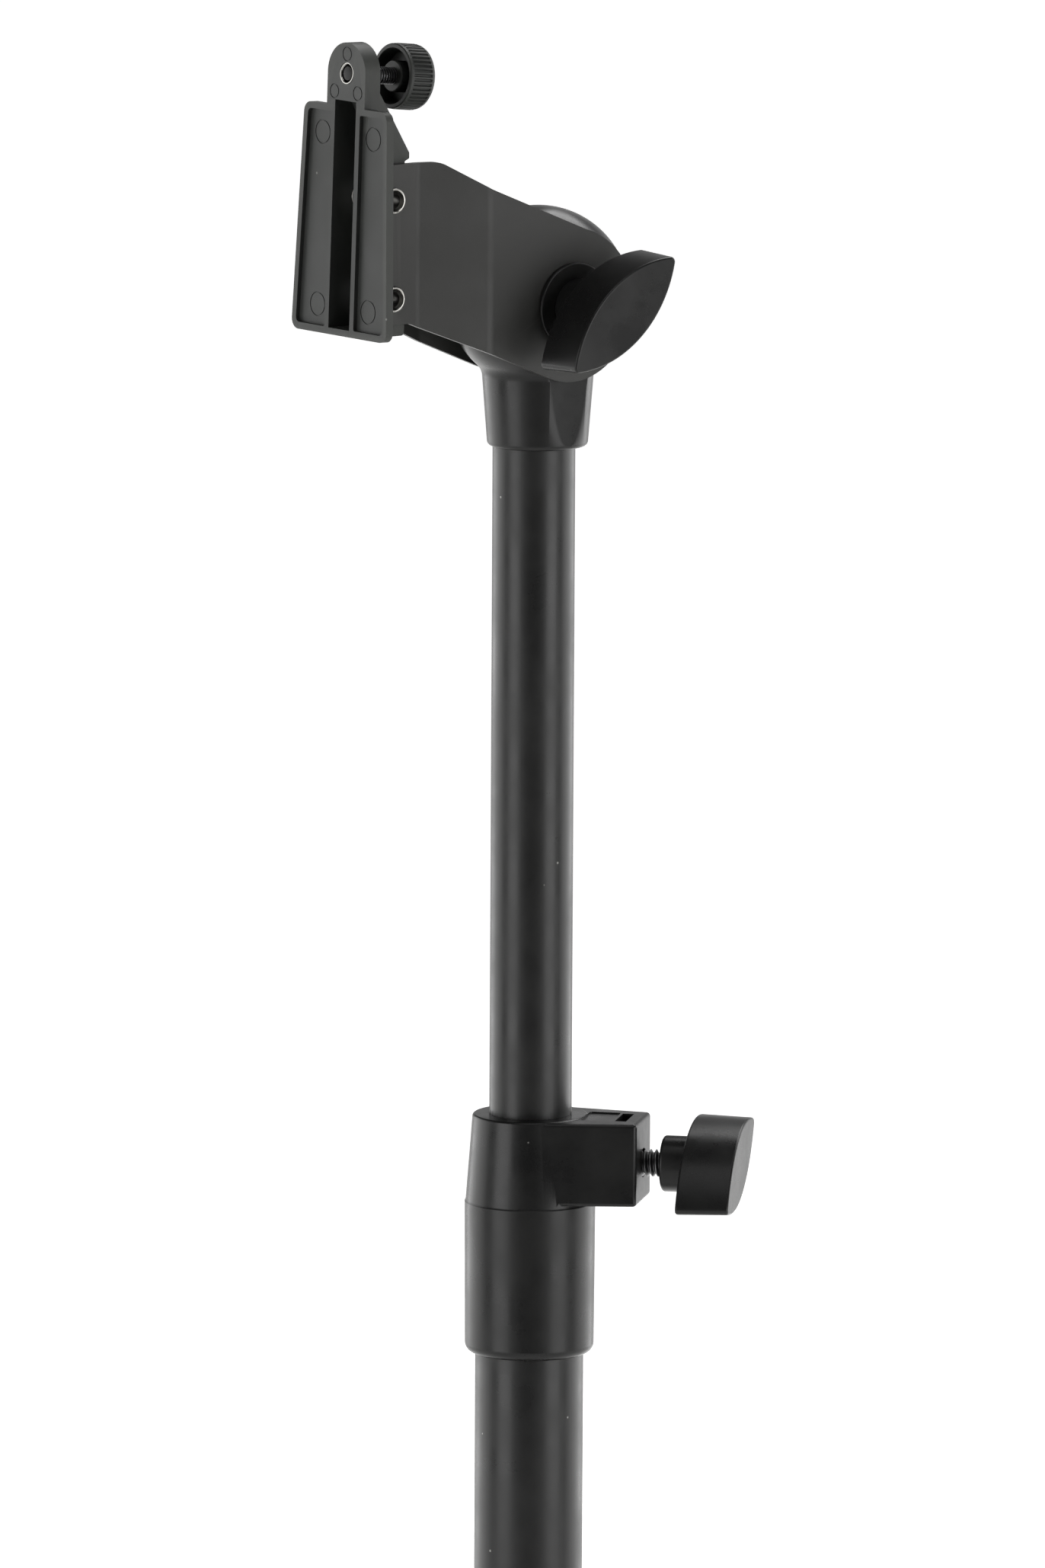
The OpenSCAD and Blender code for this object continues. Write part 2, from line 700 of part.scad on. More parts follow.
// Outline of the plate with rounded corners, x across and z up
function plate_outline() = let (r = plate_corner_r, b = plate_bottom_w / 2, t = plate_top_w / 2) concat(
    arc([b - r, r], r, -90, 0), arc([t - r, plate_h - r], r, 0, 90),
    arc([r - t, plate_h - r], r, 90, 180), arc([r - b, r], r, 180, 270)
);

// Half width of the plate at a height
function plate_half(z) = (plate_bottom_w + (plate_top_w - plate_bottom_w) * z / plate_h) / 2;

module desk_plate() color(moulded_black)
    difference() {
        union() {
            at_plate() {
                translate([0, plate_t, 0]) rotate([90, 0, 0]) linear_extrude(plate_t)
                    polygon(plate_outline());
                translate([0, tab_t, 0]) rotate([90, 0, 0]) linear_extrude(tab_t) union() {
                    translate([0, tab_z]) circle(r = tab_r);
                    translate([-tab_r, plate_h - tab_root]) square([2 * tab_r, tab_z - plate_h + tab_root]);
                }
            }
            block_extrusion(block_w) polygon([
                [block_front, block_lift - block_drop], [-block_back, block_lift - block_drop],
                [-block_back, gusset_foot - gusset_step], [gusset_y(gusset_foot), gusset_foot],
                [gusset_y(gusset_foot), gusset_foot + gusset_lip],
                [gusset_y(gusset_foot + gusset_rise), gusset_foot + gusset_rise],
                [block_front + gusset_foot * tan(plate_lean), gusset_foot + gusset_rise]
            ]);
        }
        block_extrusion(slot_w) polygon([
            [plate_front_y - 5 * cut, slot_bottom - block_drop],
            [-block_back - slot_back_wall, slot_bottom - block_drop],
            [-block_back - slot_back_wall, gusset_foot + 2 * gusset_lip],
            [gusset_y(slot_top - block_drop) - 1.2 * slot_back_wall, slot_top - block_drop],
            [plate_front_y - 5 * cut, slot_top - block_drop]
        ]);
        at_plate() for (s = [0, 1]) mirror([s, 0, 0]) translate([0, panel_depth, 0]) rotate([90, 0, 0])
            linear_extrude(2 * panel_depth) polygon([
                [slot_w / 2 + rim_w, rim_w], [plate_half(rim_w) - rim_w, rim_w],
                [plate_half(plate_h - rim_w) - rim_w, plate_h - rim_w],
                [slot_w / 2 + rim_w, plate_h - rim_w]
            ]);
        at_thumb() translate([0, 0, -cut])
            cylinder(r = thumb_r + running_gap + insert_wall + seat_gap, h = tab_t + 4 * cut);
        rivet_places() cylinder(r = rivet_d / 2 + seat_gap, h = 2 * block_w);
    }

// Back of the gusset at a height above the tilt axis: upright at its foot, then sloping to the tab
function gusset_y(z) = gusset_lip - block_back - gusset_slope * max(0, z - gusset_foot - gusset_lip);

// A side profile of the block, y and z from the tilt axis, as wide as w
module block_extrusion(w) at_pivot() linear_extrude(w, center = true) children();

// Four eyelets that join the arms to the block's side walls
module hollow_rivets() color(bright_steel) {
    wall_in = slot_w / 2;
    rivet_places() difference() {
        union() {
            translate([0, 0, wall_in - rivet_flange_t])
                cylinder(r = rivet_d / 2, h = block_half + arm_t - wall_in + 2 * rivet_flange_t);
            translate([0, 0, block_half + arm_t + seat_gap])
                cylinder(r = rivet_d / 2 + rivet_flange, h = rivet_flange_t);
            translate([0, 0, wall_in - rivet_flange_t - seat_gap])
                cylinder(r = rivet_d / 2 + rivet_roll, h = rivet_flange_t);
        }
        cylinder(r = rivet_bore_d / 2, h = 2 * block_w);
    }
}

module tab_insert() color(bright_steel)
    at_thumb() ring(thumb_r + running_gap + insert_wall, thumb_r + running_gap, tab_t);

// ---- Tilt screw ----

module tilt_nut() color(dark_steel)
    at_pivot() translate([0, 0, -arm_out - tilt_nut_t - stack_gap]) difference() {
        union() {
            cylinder(d = tilt_nut_af / cos(30), h = tilt_nut_t, $fn = 6);
            translate([0, 0, tilt_nut_t - nut_flange_t]) cylinder(d = nut_flange_d, h = nut_flange_t);
        }
        translate([0, 0, -cut]) cylinder(r = screw_r + running_gap, h = tilt_nut_t + 2 * cut);
    }

module tilt_washer() color(moulded_black)
    at_pivot() translate([0, 0, tilt_washer_x]) ring(washer_r, screw_r + running_gap, washer_t);

// Plain shank through the drum, threaded where it meets the nut
module tilt_screw() color(dark_steel)
    at_pivot() {
        threaded = tilt_nut_t + 2;
        translate([0, 0, -arm_out - threaded]) threaded_rod(screw_r, screw_pitch, threaded + cut / 2);
        translate([0, 0, -arm_out]) cylinder(r = screw_r, h = tilt_hub_x + screw_in_knob + arm_out);
    }

module tilt_knob() color(moulded_black)
    at_pivot() translate([0, 0, tilt_hub_x]) wing_knob(40);

// ---- Thumb screw ----

module thumb_tip() color(rubber_black)
    at_thumb() {
        cylinder(r = thumb_r - tip_relief, h = tip_t);
        translate([0, 0, tip_t - 0.1]) cylinder(r = tip_stem_r, h = tip_stem_len);
    }

module thumb_screw() color(dark_steel)
    at_thumb() translate([0, 0, tip_t + stack_gap]) difference() {
        threaded_rod(thumb_r, thumb_pitch, thumb_knob_y + thumb_knob_len - knob_cap - tip_t);
        translate([0, 0, -cut]) cylinder(r = tip_stem_r + running_gap, h = tip_stem_len + face_gap + cut);
    }

// Knurled knob: a cup with a hub inside, open towards the tab
module thumb_knob() color(moulded_black) {
    cup_hub_r = thumb_r + cup_hub_wall;
    cup_r = thumb_knob_r - cup_wall;
    at_thumb() translate([0, 0, thumb_knob_y]) difference() {
        rotate_extrude() polygon(concat(
            [[0, 0], [cup_hub_r, 0], [cup_hub_r, cup_depth], [cup_r, cup_depth]],
            [[cup_r, 0], [thumb_knob_r, 0]],
            arc([thumb_knob_r - knob_round, thumb_knob_len - knob_round], knob_round, 0, 90),
            [[0, thumb_knob_len]]
        ));
        translate([0, 0, -cut])
            cylinder(r = thumb_r + seat_gap, h = thumb_knob_len - knob_cap + face_gap + cut);
    }
}

base_hub();
base_bolt();
base_washer();
lower_tube_plug();
lower_tube();
clamp_collar();
clamp_nut();
leg_bolts();
leg_nuts();
leg_tube(0);  // leg_front_tube
leg_tang(0);  // leg_front_tang
leg_rivet(0);  // leg_front_rivet
leg_foot(0);  // leg_front_foot
leg_tube(1);  // leg_right_tube
leg_tang(1);  // leg_right_tang
leg_rivet(1);  // leg_right_rivet
leg_foot(1);  // leg_right_foot
leg_tube(2);  // leg_left_tube
leg_tang(2);  // leg_left_tang
leg_rivet(2);  // leg_left_rivet
leg_foot(2);  // leg_left_foot
guide_bush();
bush_ring();
upper_tube();
tube_end_plug();
tilt_head();
friction_washers();
arm_right();
arm_left();
desk_plate();
hollow_rivets();
tab_insert();
tilt_nut();
tilt_washer();
tilt_screw();
tilt_knob();
clamp_shoe();
clamp_screw();
clamp_knob();
thumb_tip();
thumb_screw();
thumb_knob();
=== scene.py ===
"""Looks of a music stand that is shown without its desk.

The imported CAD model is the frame. Every visible piece is modelled here in millimetres, in the
row frame, and rides on its CAD body. +Z is up, -Y is the side that the desk faces and +X is the
side of the tilt knob.
"""

from __future__ import annotations

import json
import logging
import math
from dataclasses import dataclass, field
from enum import Enum
from typing import Callable, Iterable, Sequence

import bpy
from mathutils import Matrix, Vector


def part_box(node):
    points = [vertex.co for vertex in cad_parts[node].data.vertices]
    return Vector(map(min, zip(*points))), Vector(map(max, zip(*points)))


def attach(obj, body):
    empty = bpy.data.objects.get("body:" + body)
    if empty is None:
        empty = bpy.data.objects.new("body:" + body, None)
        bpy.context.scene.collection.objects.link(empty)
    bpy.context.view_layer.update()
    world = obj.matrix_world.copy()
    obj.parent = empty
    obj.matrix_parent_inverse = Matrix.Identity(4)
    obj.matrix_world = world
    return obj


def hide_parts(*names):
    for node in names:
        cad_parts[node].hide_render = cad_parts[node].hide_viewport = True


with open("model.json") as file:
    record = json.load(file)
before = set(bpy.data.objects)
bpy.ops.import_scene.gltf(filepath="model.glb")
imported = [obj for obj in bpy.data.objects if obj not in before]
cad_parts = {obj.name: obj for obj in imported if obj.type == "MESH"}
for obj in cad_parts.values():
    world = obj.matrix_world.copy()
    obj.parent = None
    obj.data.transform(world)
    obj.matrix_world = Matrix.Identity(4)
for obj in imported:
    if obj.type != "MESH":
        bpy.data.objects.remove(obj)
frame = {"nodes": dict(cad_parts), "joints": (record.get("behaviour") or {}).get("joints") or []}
log = logging.getLogger("music_stand")

MM = 0.001
Point = tuple[float, float]
Piece = bpy.types.Object
Tree = bpy.types.NodeTree
Socket = bpy.types.NodeSocket


# ---- Where the frame is ----


def low(node: str) -> Vector:
    """Lowest corner of a CAD node, in millimetres."""
    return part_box(node)[0] / MM


def high(node: str) -> Vector:
    """Highest corner of a CAD node, in millimetres."""
    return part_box(node)[1] / MM


def joint(name: str) -> dict:
    """The record's entry for one joint."""
    return next(entry for entry in frame["joints"] if entry["name"] == name)


def shift(x: float = 0, y: float = 0, z: float = 0) -> Matrix:
    """A translation in millimetres."""
    return Matrix.Translation((x, y, z))


def turn(axis: str, degrees: float) -> Matrix:
    """A rotation about one axis."""
    return Matrix.Rotation(math.radians(degrees), 4, axis)


PIVOT_Z = joint("desk_tilt")["pos_m"][2] / MM
CLAMP_Z = joint("clamp_knob_turn")["pos_m"][2] / MM
CLAMP_ANGLE = math.degrees(math.atan2(*reversed(joint("clamp_knob_turn")["axis"][:2])))
AT_PIVOT = shift(z=PIVOT_Z)
ALONG_TILT = AT_PIVOT @ turn("Y", 90)
ALONG_CLAMP = shift(z=CLAMP_Z) @ turn("Z", CLAMP_ANGLE) @ turn("Y", 90)


# ---- Modelling by hand ----


def clear_selection() -> None:
    """Leaves nothing selected, so that an operator acts on one piece only."""
    if bpy.context.object is not None and bpy.context.object.mode != "OBJECT":
        bpy.ops.object.mode_set(mode="OBJECT")
    bpy.ops.object.select_all(action="DESELECT")


def take(piece: Piece) -> Piece:
    """Makes a piece the only selected one and the active one.

    Args:
        piece: The piece.

    Returns:
        The same piece.
    """
    clear_selection()
    piece.select_set(True)
    bpy.context.view_layer.objects.active = piece
    return piece


def edit(piece: Piece) -> None:
    """Opens a piece in edit mode with all of it selected."""
    take(piece)
    bpy.ops.object.mode_set(mode="EDIT")
    bpy.ops.mesh.select_all(action="SELECT")


def close_edit() -> None:
    """Leaves edit mode."""
    bpy.ops.object.mode_set(mode="OBJECT")


def tidy_mesh(piece: Piece, gap: float = 0.002) -> Piece:
    """Merges doubles and turns the faces outwards.

    Args:
        piece: The piece, which is a closed shell.
        gap: How close two points are merged, in millimetres.

    Returns:
        The same piece.
    """
    edit(piece)
    bpy.ops.mesh.remove_doubles(threshold=gap)
    bpy.ops.mesh.normals_make_consistent(inside=False)
    close_edit()
    return piece


def chain(name: str, points: Sequence[Vector], closed: bool) -> Piece:
    """Draws a line of edges by extruding one vertex from point to point.

    Args:
        name: Name of the new piece.
        points: The points, in millimetres.
        closed: Whether the line returns to its first point.

    Returns:
        The new piece, in edit mode with its line selected.
    """
    clear_selection()
    bpy.ops.mesh.primitive_plane_add(size=1, location=(0, 0, 0), enter_editmode=True)
    piece = bpy.context.object
    piece.name = name
    bpy.ops.mesh.merge(type="CENTER")
    bpy.ops.transform.translate(value=points[0])
    run = [*points, points[0]] if closed else list(points)
    for start, end in zip(run, run[1:]):
        bpy.ops.mesh.extrude_region_move(TRANSFORM_OT_translate={"value": end - start})
    bpy.ops.mesh.select_all(action="SELECT")
    if closed:
        bpy.ops.mesh.remove_doubles(threshold=0.001)
    return piece


def lathe(name: str, profile: Sequence[Point], closed: bool = False, steps: int = 96) -> Piece:
    """Spins a profile round +Z.

    Args:
        name: Name of the new piece.
        profile: Points as radius and height, in millimetres.
        closed: Whether the profile is a ring that never meets the axis.
        steps: Sides of the round.

    Returns:
        The new piece, closed and facing outwards.
    """
    piece = chain(name, [Vector((r, 0, z)) for r, z in profile], closed)
    bpy.ops.mesh.spin(steps=steps, angle=math.tau, center=(0, 0, 0), axis=(0, 0, 1))
    return tidy_mesh(piece)


def prism(name: str, outline: Sequence[Point], depth: float) -> Piece:
    """Extrudes a flat outline along +Z.

    Args:
        name: Name of the new piece.
        outline: Corners in the XY plane, in millimetres.
        depth: Height of the prism.

    Returns:
        The new piece.
    """
    piece = chain(name, [Vector((x, y, 0)) for x, y in outline], True)
    bpy.ops.mesh.edge_face_add()
    bpy.ops.mesh.extrude_region_move(TRANSFORM_OT_translate={"value": (0, 0, depth)})
    return tidy_mesh(piece)


def side_prism(name: str, outline: Sequence[Point], width: float) -> Piece:
    """A prism of a side profile given as y and z, centred on x = 0."""
    piece = prism(name, outline, width)
    return move(piece, shift(x=-width / 2) @ turn("Z", 90) @ turn("X", 90))


def front_prism(name: str, outline: Sequence[Point], depth: float) -> Piece:
    """A prism of a front outline given as x and z, which runs from y = 0 to y = depth."""
    return move(prism(name, outline, depth), shift(y=depth) @ turn("X", 90))


def rod(name: str, radius: float, length: float, steps: int = 64) -> Piece:
    """A plain round cutter or core along +Z from z = 0."""
    return lathe(name, [(0, 0), (radius, 0), (radius, length), (0, length)], steps=steps)


def move(piece: Piece, place: Matrix) -> Piece:
    """Moves a piece's mesh, and leaves its object at the origin.

    Args:
        piece: The piece.
        place: Where it goes, from where it is.

    Returns:
        The same piece.
    """
    take(piece)
    piece.matrix_world = place
    bpy.ops.object.transform_apply(location=True, rotation=True, scale=True)
    return piece


def mirrored(piece: Piece, name: str) -> Piece:
    """A copy with its own mesh, mirrored across x = 0.

    Args:
        piece: The piece to copy.
        name: Name of the copy.

    Returns:
        The copy, facing outwards.
    """
    twin = copy_of(piece, name)
    move(twin, Matrix.Scale(-1, 4, (1, 0, 0)))
    return tidy_mesh(twin)


def copy_of(piece: Piece, name: str) -> Piece:
    """Copies a piece with its mesh.

    Args:
        piece: The piece to copy.
        name: Name of the copy.

    Returns:
        The copy, with its own mesh.
    """
    take(piece)
    bpy.ops.object.duplicate(linked=False)
    twin = bpy.context.object
    twin.name = name
    return twin


def apply_modifier(piece: Piece, kind: str, **settings: object) -> Piece:
    """Adds one modifier and applies it.

    Args:
        piece: The piece.
        kind: Modifier type, such as BEVEL.
        settings: The modifier's own properties.

    Returns:
        The same piece.
    """
    take(piece)
    modifier = piece.modifiers.new(kind.title(), kind)
    for key, value in settings.items():
        setattr(modifier, key, value)
    bpy.ops.object.modifier_apply(modifier=modifier.name)
    return piece


def combine(piece: Piece, other: Piece, operation: str) -> Piece:
    """Joins, cuts or intersects one closed piece with another, which is used up.

    Args:
        piece: The piece that stays.
        other: The piece that is used up.
        operation: UNION, DIFFERENCE or INTERSECT.

    Returns:
        The piece that stays.
    """
    apply_modifier(piece, "BOOLEAN", object=other, operation=operation, solver="EXACT")
    bpy.data.objects.remove(other)
    return piece


def cut(piece: Piece, *cutters: Piece) -> Piece:
    """Cuts each cutter out of a piece."""
    for cutter in cutters:
        combine(piece, cutter, "DIFFERENCE")
    return piece


def fuse(piece: Piece, *others: Piece) -> Piece:
    """Joins other closed pieces to a piece."""
    for other in others:
        combine(piece, other, "UNION")
    return piece


def gather(name: str, pieces: Sequence[Piece]) -> Piece:
    """Joins separate solids into one object without merging them.

    Args:
        name: Name of the joined piece.
        pieces: The solids, which are used up.

    Returns:
        The joined piece.
    """
    take(pieces[0])
    for piece in pieces:
        piece.select_set(True)
    bpy.ops.object.join()
    pieces[0].name = name
    return pieces[0]


def round_edges(piece: Piece, width: float, segments: int = 2, angle: float = 40) -> Piece:
    """Bevels the edges that are sharper than an angle.

    Args:
        piece: The piece.
        width: Width of the bevel in millimetres.
        segments: Faces across the bevel.
        angle: Angle in degrees above which an edge is rounded.

    Returns:
        The same piece.
    """
    tidy_mesh(piece, 0.01)
    return apply_modifier(
        piece,
        "BEVEL",
        width=width,
        segments=segments,
        limit_method="ANGLE",
        angle_limit=math.radians(angle),
        use_clamp_overlap=True,
        miter_outer="MITER_ARC",
    )


def pick_vertices(piece: Piece, test: Callable[[Vector], bool]) -> None:
    """Opens a piece in edit mode with some of its vertices selected.

    Args:
        piece: The piece.
        test: Whether a vertex is selected, from its place.
    """
    edit(piece)
    bpy.ops.mesh.select_mode(type="VERT")
    bpy.ops.mesh.select_all(action="DESELECT")
    close_edit()
    for vertex in piece.data.vertices:
        vertex.select = test(vertex.co)
    bpy.ops.object.mode_set(mode="EDIT")


def scale_picked(factors: tuple[float, float, float], centre: Sequence[float]) -> None:
    """Scales what is selected in edit mode about a centre, and leaves edit mode."""
    bpy.ops.transform.resize(value=factors, center_override=centre)
    close_edit()


def arc(centre: Point, radius: float, start: float, end: float, steps: int = 8) -> list[Point]:
    """Points of an arc, with its angles in degrees."""
    angles = [math.radians(start + (end - start) * i / steps) for i in range(steps + 1)]
    return [(centre[0] + radius * math.cos(a), centre[1] + radius * math.sin(a)) for a in angles]


def rounded(outline: Sequence[Point], radii: Sequence[float], steps: int = 6) -> list[Point]:
    """Rounds an outline's corners with arcs that touch both sides.

    Args:
        outline: Corners of a closed outline.
        radii: One radius for each corner, or 0 to keep it sharp.
        steps: Pieces of each arc.

    Returns:
        The rounded outline.
    """
    result: list[Point] = []
    for i, radius in enumerate(radii):
        corner = Vector(outline[i])
        if radius <= 0:
            result.append(tuple(corner))
            continue
        before = (Vector(outline[i - 1]) - corner).normalized()
        after = (Vector(outline[(i + 1) % len(outline)]) - corner).normalized()
        half = before.angle(after) / 2
        centre = corner + (before + after).normalized() * radius / math.sin(half)
        reach = radius / math.tan(half)
        first = corner + before * reach - centre
        last = corner + after * reach - centre
        for k in range(steps + 1):
            spoke = first.slerp(last, k / steps)
            result.append(tuple(centre + spoke * radius))
    return result


def threaded(name: str, radius: float, pitch: float, length: float) -> Piece:
    """A rod along +Z with a true helical thread.

    Args:
        name: Name of the new piece.
        radius: Radius over the crests.
        pitch: Pitch of the thread.
        length: Length of the rod.

    Returns:
        The rod, closed at both ends.
    """
    root = radius - 0.6 * pitch
    shape = ((root, 0), (root, 0.14), (radius, 0.5), (radius, 0.64), (root, 1))
    piece = chain(name, [Vector((r, 0, share * pitch)) for r, share in shape], False)
    close_edit()
    apply_modifier(
        piece,
        "SCREW",
        screw_offset=pitch,
        iterations=max(1, round(length / pitch)),
        steps=32,
        render_steps=32,
        use_merge_vertices=True,
        merge_threshold=0.001,
    )
    edit(piece)
    bpy.ops.mesh.remove_doubles(threshold=0.001)
    bpy.ops.mesh.fill_holes(sides=0)
    bpy.ops.mesh.normals_make_consistent(inside=False)
    close_edit()
    return piece


# ---- Finishes ----


def linear(colour: str) -> tuple[float, float, float, float]:
    """Turns an sRGB hex colour into a linear one with full alpha."""
    parts = [int(colour[i : i + 2], 16) / 255 for i in (1, 3, 5)]
    straight = [c / 12.92 if c <= 0.04045 else ((c + 0.055) / 1.055) ** 2.4 for c in parts]
    return (*straight, 1.0)


def per_metre(size_mm: float) -> float:
    """Texture scale, in repeats per metre, of a pattern of one real size."""
    return 1.0 / (size_mm * MM)


def add_node(
    tree: Tree, kind: str, sockets: dict | None = None, **settings: object
) -> bpy.types.Node:
    """Adds a node.

    Args:
        tree: The material's node tree.
        kind: Node type, such as ShaderNodeBump.
        sockets: Input name or number to a value, or to an output that is linked to it.
        settings: The node's own properties.

    Returns:
        The node.
    """
    made = tree.nodes.new(kind)
    for key, value in settings.items():
        setattr(made, key, value)
    for key, value in (sockets or {}).items():
        if isinstance(value, Socket):
            tree.links.new(value, made.inputs[key])
        else:
            made.inputs[key].default_value = value
    return made


DUST_SPACING_MM = 9.0
DUST_COLOUR = "#8a8a86"
# Edge and middle of a speck of dust, as shares of their spacing
DUST_EDGE, DUST_MIDDLE = 0.035, 0.02
# Most of the pale colour that a patch shows, as tone that strays at random
PATCH_SHARE = 0.12
# Pointiness where the lightened edge starts and where it is full: a painted highlight along sharp
# edges, mixed with edge wear
EDGE_WEAR_AND_HIGHLIGHT_START, EDGE_WEAR_AND_HIGHLIGHT_FULL = 0.52, 0.6


class Grain(Enum):
    """How a surface was made, which sets the direction of its finest relief."""

    EVEN = (1.0, 1.0, 1.0)
    DRAWN = (1.0, 1.0, 0.06)


@dataclass(frozen=True)
class Finish:
    """One real material with its surface.

    Args:
        title: Name of the material.
        colour: sRGB colour of most of it.
        worn_and_highlight: sRGB colour of its paler patches and of its lightened edges, which are
            partly edge wear and partly a painted highlight.
        roughness: Roughness of the clean surface.
        spread: How far the roughness strays in patches.
        metallic: 1 for bare metal, 0 for paint and plastic.
        ior: Refractive index of paint or plastic.
        gloss: Specular level of paint or plastic, where 0.5 is a clean, smooth surface.
        grain: How the surface was made.
        grain_mm: Size of the finest relief.
        relief_mm: Height of the finest relief.
        patch_mm: Size of the patches in colour and gloss.
        edge: How much of the pale colour shows along edges, as edge wear and as a painted highlight.
        dust: How much pale dust lies on it.
    """

    title: str
    colour: str
    worn_and_highlight: str
    roughness: float
    spread: float = 0.06
    metallic: float = 0.0
    ior: float = 1.5
    gloss: float = 0.14
    grain: Grain = Grain.EVEN
    grain_mm: float = 0.4
    relief_mm: float = 0.01
    patch_mm: float = 14.0
    # Share of the pale colour on sharp edges: edge wear and a painted highlight
    edge: float = 0.25
    dust: float = 0.0

    def build(self) -> bpy.types.Material:
        """Builds the material once and returns it."""
        ready = bpy.data.materials.get(self.title)
        if ready is not None:
            return ready
        material = bpy.data.materials.new(self.title)
        material.use_nodes = True
        tree = material.node_tree
        shader = tree.nodes["Principled BSDF"]
        place = add_node(tree, "ShaderNodeTexCoord").outputs["Object"]
        fine = self._relief(tree, place)
        patches = self._patches(tree, place)
        tree.links.new(self._colour(tree, place, patches), shader.inputs["Base Color"])
        tree.links.new(self._roughness(tree, patches), shader.inputs["Roughness"])
        tree.links.new(fine, shader.inputs["Normal"])
        shader.inputs["Metallic"].default_value = self.metallic
        if self.metallic < 0.5:
            shader.inputs["IOR"].default_value = self.ior
            shader.inputs["Specular IOR Level"].default_value = self.gloss
        material.diffuse_color = linear(self.colour)
        return material

    def _relief(self, tree: Tree, place: Socket) -> Socket:
        """The finest relief as a bumped normal.

        Args:
            tree: The material's node tree.
            place: Object coordinates.

        Returns:
            The normal output.
        """
        mapping = add_node(tree, "ShaderNodeMapping", {"Vector": place, "Scale": self.grain.value})
        drawn = mapping.outputs["Vector"]
        scale = per_metre(self.grain_mm)
        noise = add_node(
            tree,
            "ShaderNodeTexNoise",
            {"Vector": drawn, "Scale": scale, "Detail": 3.0, "Roughness": 0.55},
        )
        bump = add_node(
            tree,
            "ShaderNodeBump",
            {"Height": noise.outputs["Fac"], "Strength": 1.0, "Distance": self.relief_mm * MM},
        )
        return bump.outputs["Normal"]

    def _patches(self, tree: Tree, place: Socket) -> Socket:
        """Soft patches, 0 to 1, that colour and gloss share.

        Args:
            tree: The material's node tree.
            place: Object coordinates.

        Returns:
            The patches' output.
        """
        noise = add_node(
            tree,
            "ShaderNodeTexNoise",
            {"Vector": place, "Scale": per_metre(self.patch_mm), "Detail": 5.0, "Roughness": 0.6},
        )
        spread = add_node(
            tree,
            "ShaderNodeMapRange",
            {"Value": noise.outputs["Fac"], "From Min": 0.35, "From Max": 0.65},
        )
        return spread.outputs["Result"]

    def _roughness(self, tree: Tree, patches: Socket) -> Socket:
        """Roughness that strays a little from patch to patch.

        Args:
            tree: The material's node tree.
            patches: The shared patches.

        Returns:
            The roughness output.
        """
        least, most = self.roughness - self.spread, self.roughness + self.spread
        spread = add_node(
            tree, "ShaderNodeMapRange", {"Value": patches, "To Min": least, "To Max": most}
        )
        return spread.outputs["Result"]

    def _colour(self, tree: Tree, place: Socket, patches: Socket) -> Socket:
        """Colour with faint patches, edges lightened by wear and by a painted highlight, and dust.

        Args:
            tree: The material's node tree.
            place: Object coordinates.
            patches: The shared patches.

        Returns:
            The colour output.
        """
        share = add_node(tree, "ShaderNodeMath", {0: patches, 1: PATCH_SHARE}, operation="MULTIPLY")
        body = self._mix(tree, share.outputs["Value"], linear(self.colour), linear(self.worn_and_highlight))
        # Painted highlight along sharp edges, mixed with edge wear: high pointiness lightens the
        # colour towards the pale one
        pointed = add_node(tree, "ShaderNodeNewGeometry").outputs["Pointiness"]
        edge_wear_and_highlight = add_node(
            tree,
            "ShaderNodeMapRange",
            {"Value": pointed, "From Min": EDGE_WEAR_AND_HIGHLIGHT_START, "From Max": EDGE_WEAR_AND_HIGHLIGHT_FULL, "To Max": self.edge},
        )
        body = self._mix(tree, edge_wear_and_highlight.outputs["Result"], body, linear(self.worn_and_highlight))
        if self.dust <= 0:
            return body
        specks = add_node(
            tree,
            "ShaderNodeTexVoronoi",
            {"Vector": place, "Scale": per_metre(DUST_SPACING_MM), "Randomness": 1.0},
        )
        distance = specks.outputs["Distance"]
        dusty = add_node(
            tree,
            "ShaderNodeMapRange",
            {"Value": distance, "From Min": DUST_EDGE, "From Max": DUST_MIDDLE, "To Max": self.dust},
        )
        return self._mix(tree, dusty.outputs["Result"], body, linear(DUST_COLOUR))

    @staticmethod
    def _mix(tree: Tree, share: Socket, first: object, second: object) -> Socket:
        """Mixes two colours.

        Args:
            tree: The material's node tree.
            share: How much of the second colour shows.
            first: A colour, or an output that gives one.
            second: The other colour, or an output that gives one.

        Returns:
            The mixed colour's output.
        """
        mix = add_node(tree, "ShaderNodeMix", {"Factor": share}, data_type="RGBA")
        for socket, value in ((mix.inputs[6], first), (mix.inputs[7], second)):
            if isinstance(value, Socket):
                tree.links.new(value, socket)
            else:
                socket.default_value = value
        return mix.outputs[2]


# Black stoving enamel over drawn steel tube: satin, with a faint orange peel
TUBE_ENAMEL = Finish(
    "satin_tube_enamel", "#0f0f0f", "#1d1d1c", 0.33, grain_mm=1.1, relief_mm=0.004, dust=0.5
)
# Black powder coat over folded steel sheet: a fine pebble that softens the light
POWDER_COAT = Finish(
    "powder_coated_sheet", "#1a1a19", "#2b2b29", 0.46, grain_mm=0.55, relief_mm=0.012, dust=0.4
)
# Glass-filled nylon from a spark-eroded mould: dark grey and even, with a dry grain
NYLON = Finish(
    "spark_grained_nylon",
    "#1b1c1b",
    "#343532",
    0.47,
    gloss=0.11,
    grain_mm=0.22,
    relief_mm=0.008,
    # Lighter rims: a painted highlight along the edges, mixed with edge wear
    edge=0.3,
    dust=0.3,
)
# Polypropylene from a polished mould: deep black with soft, wide reflections
POLYPROPYLENE = Finish(
    "polished_mould_polypropylene",
    "#0b0b0b",
    "#1b1b1a",
    0.3,
    gloss=0.12,
    grain_mm=1.8,
    relief_mm=0.006,
    dust=0.3,
)
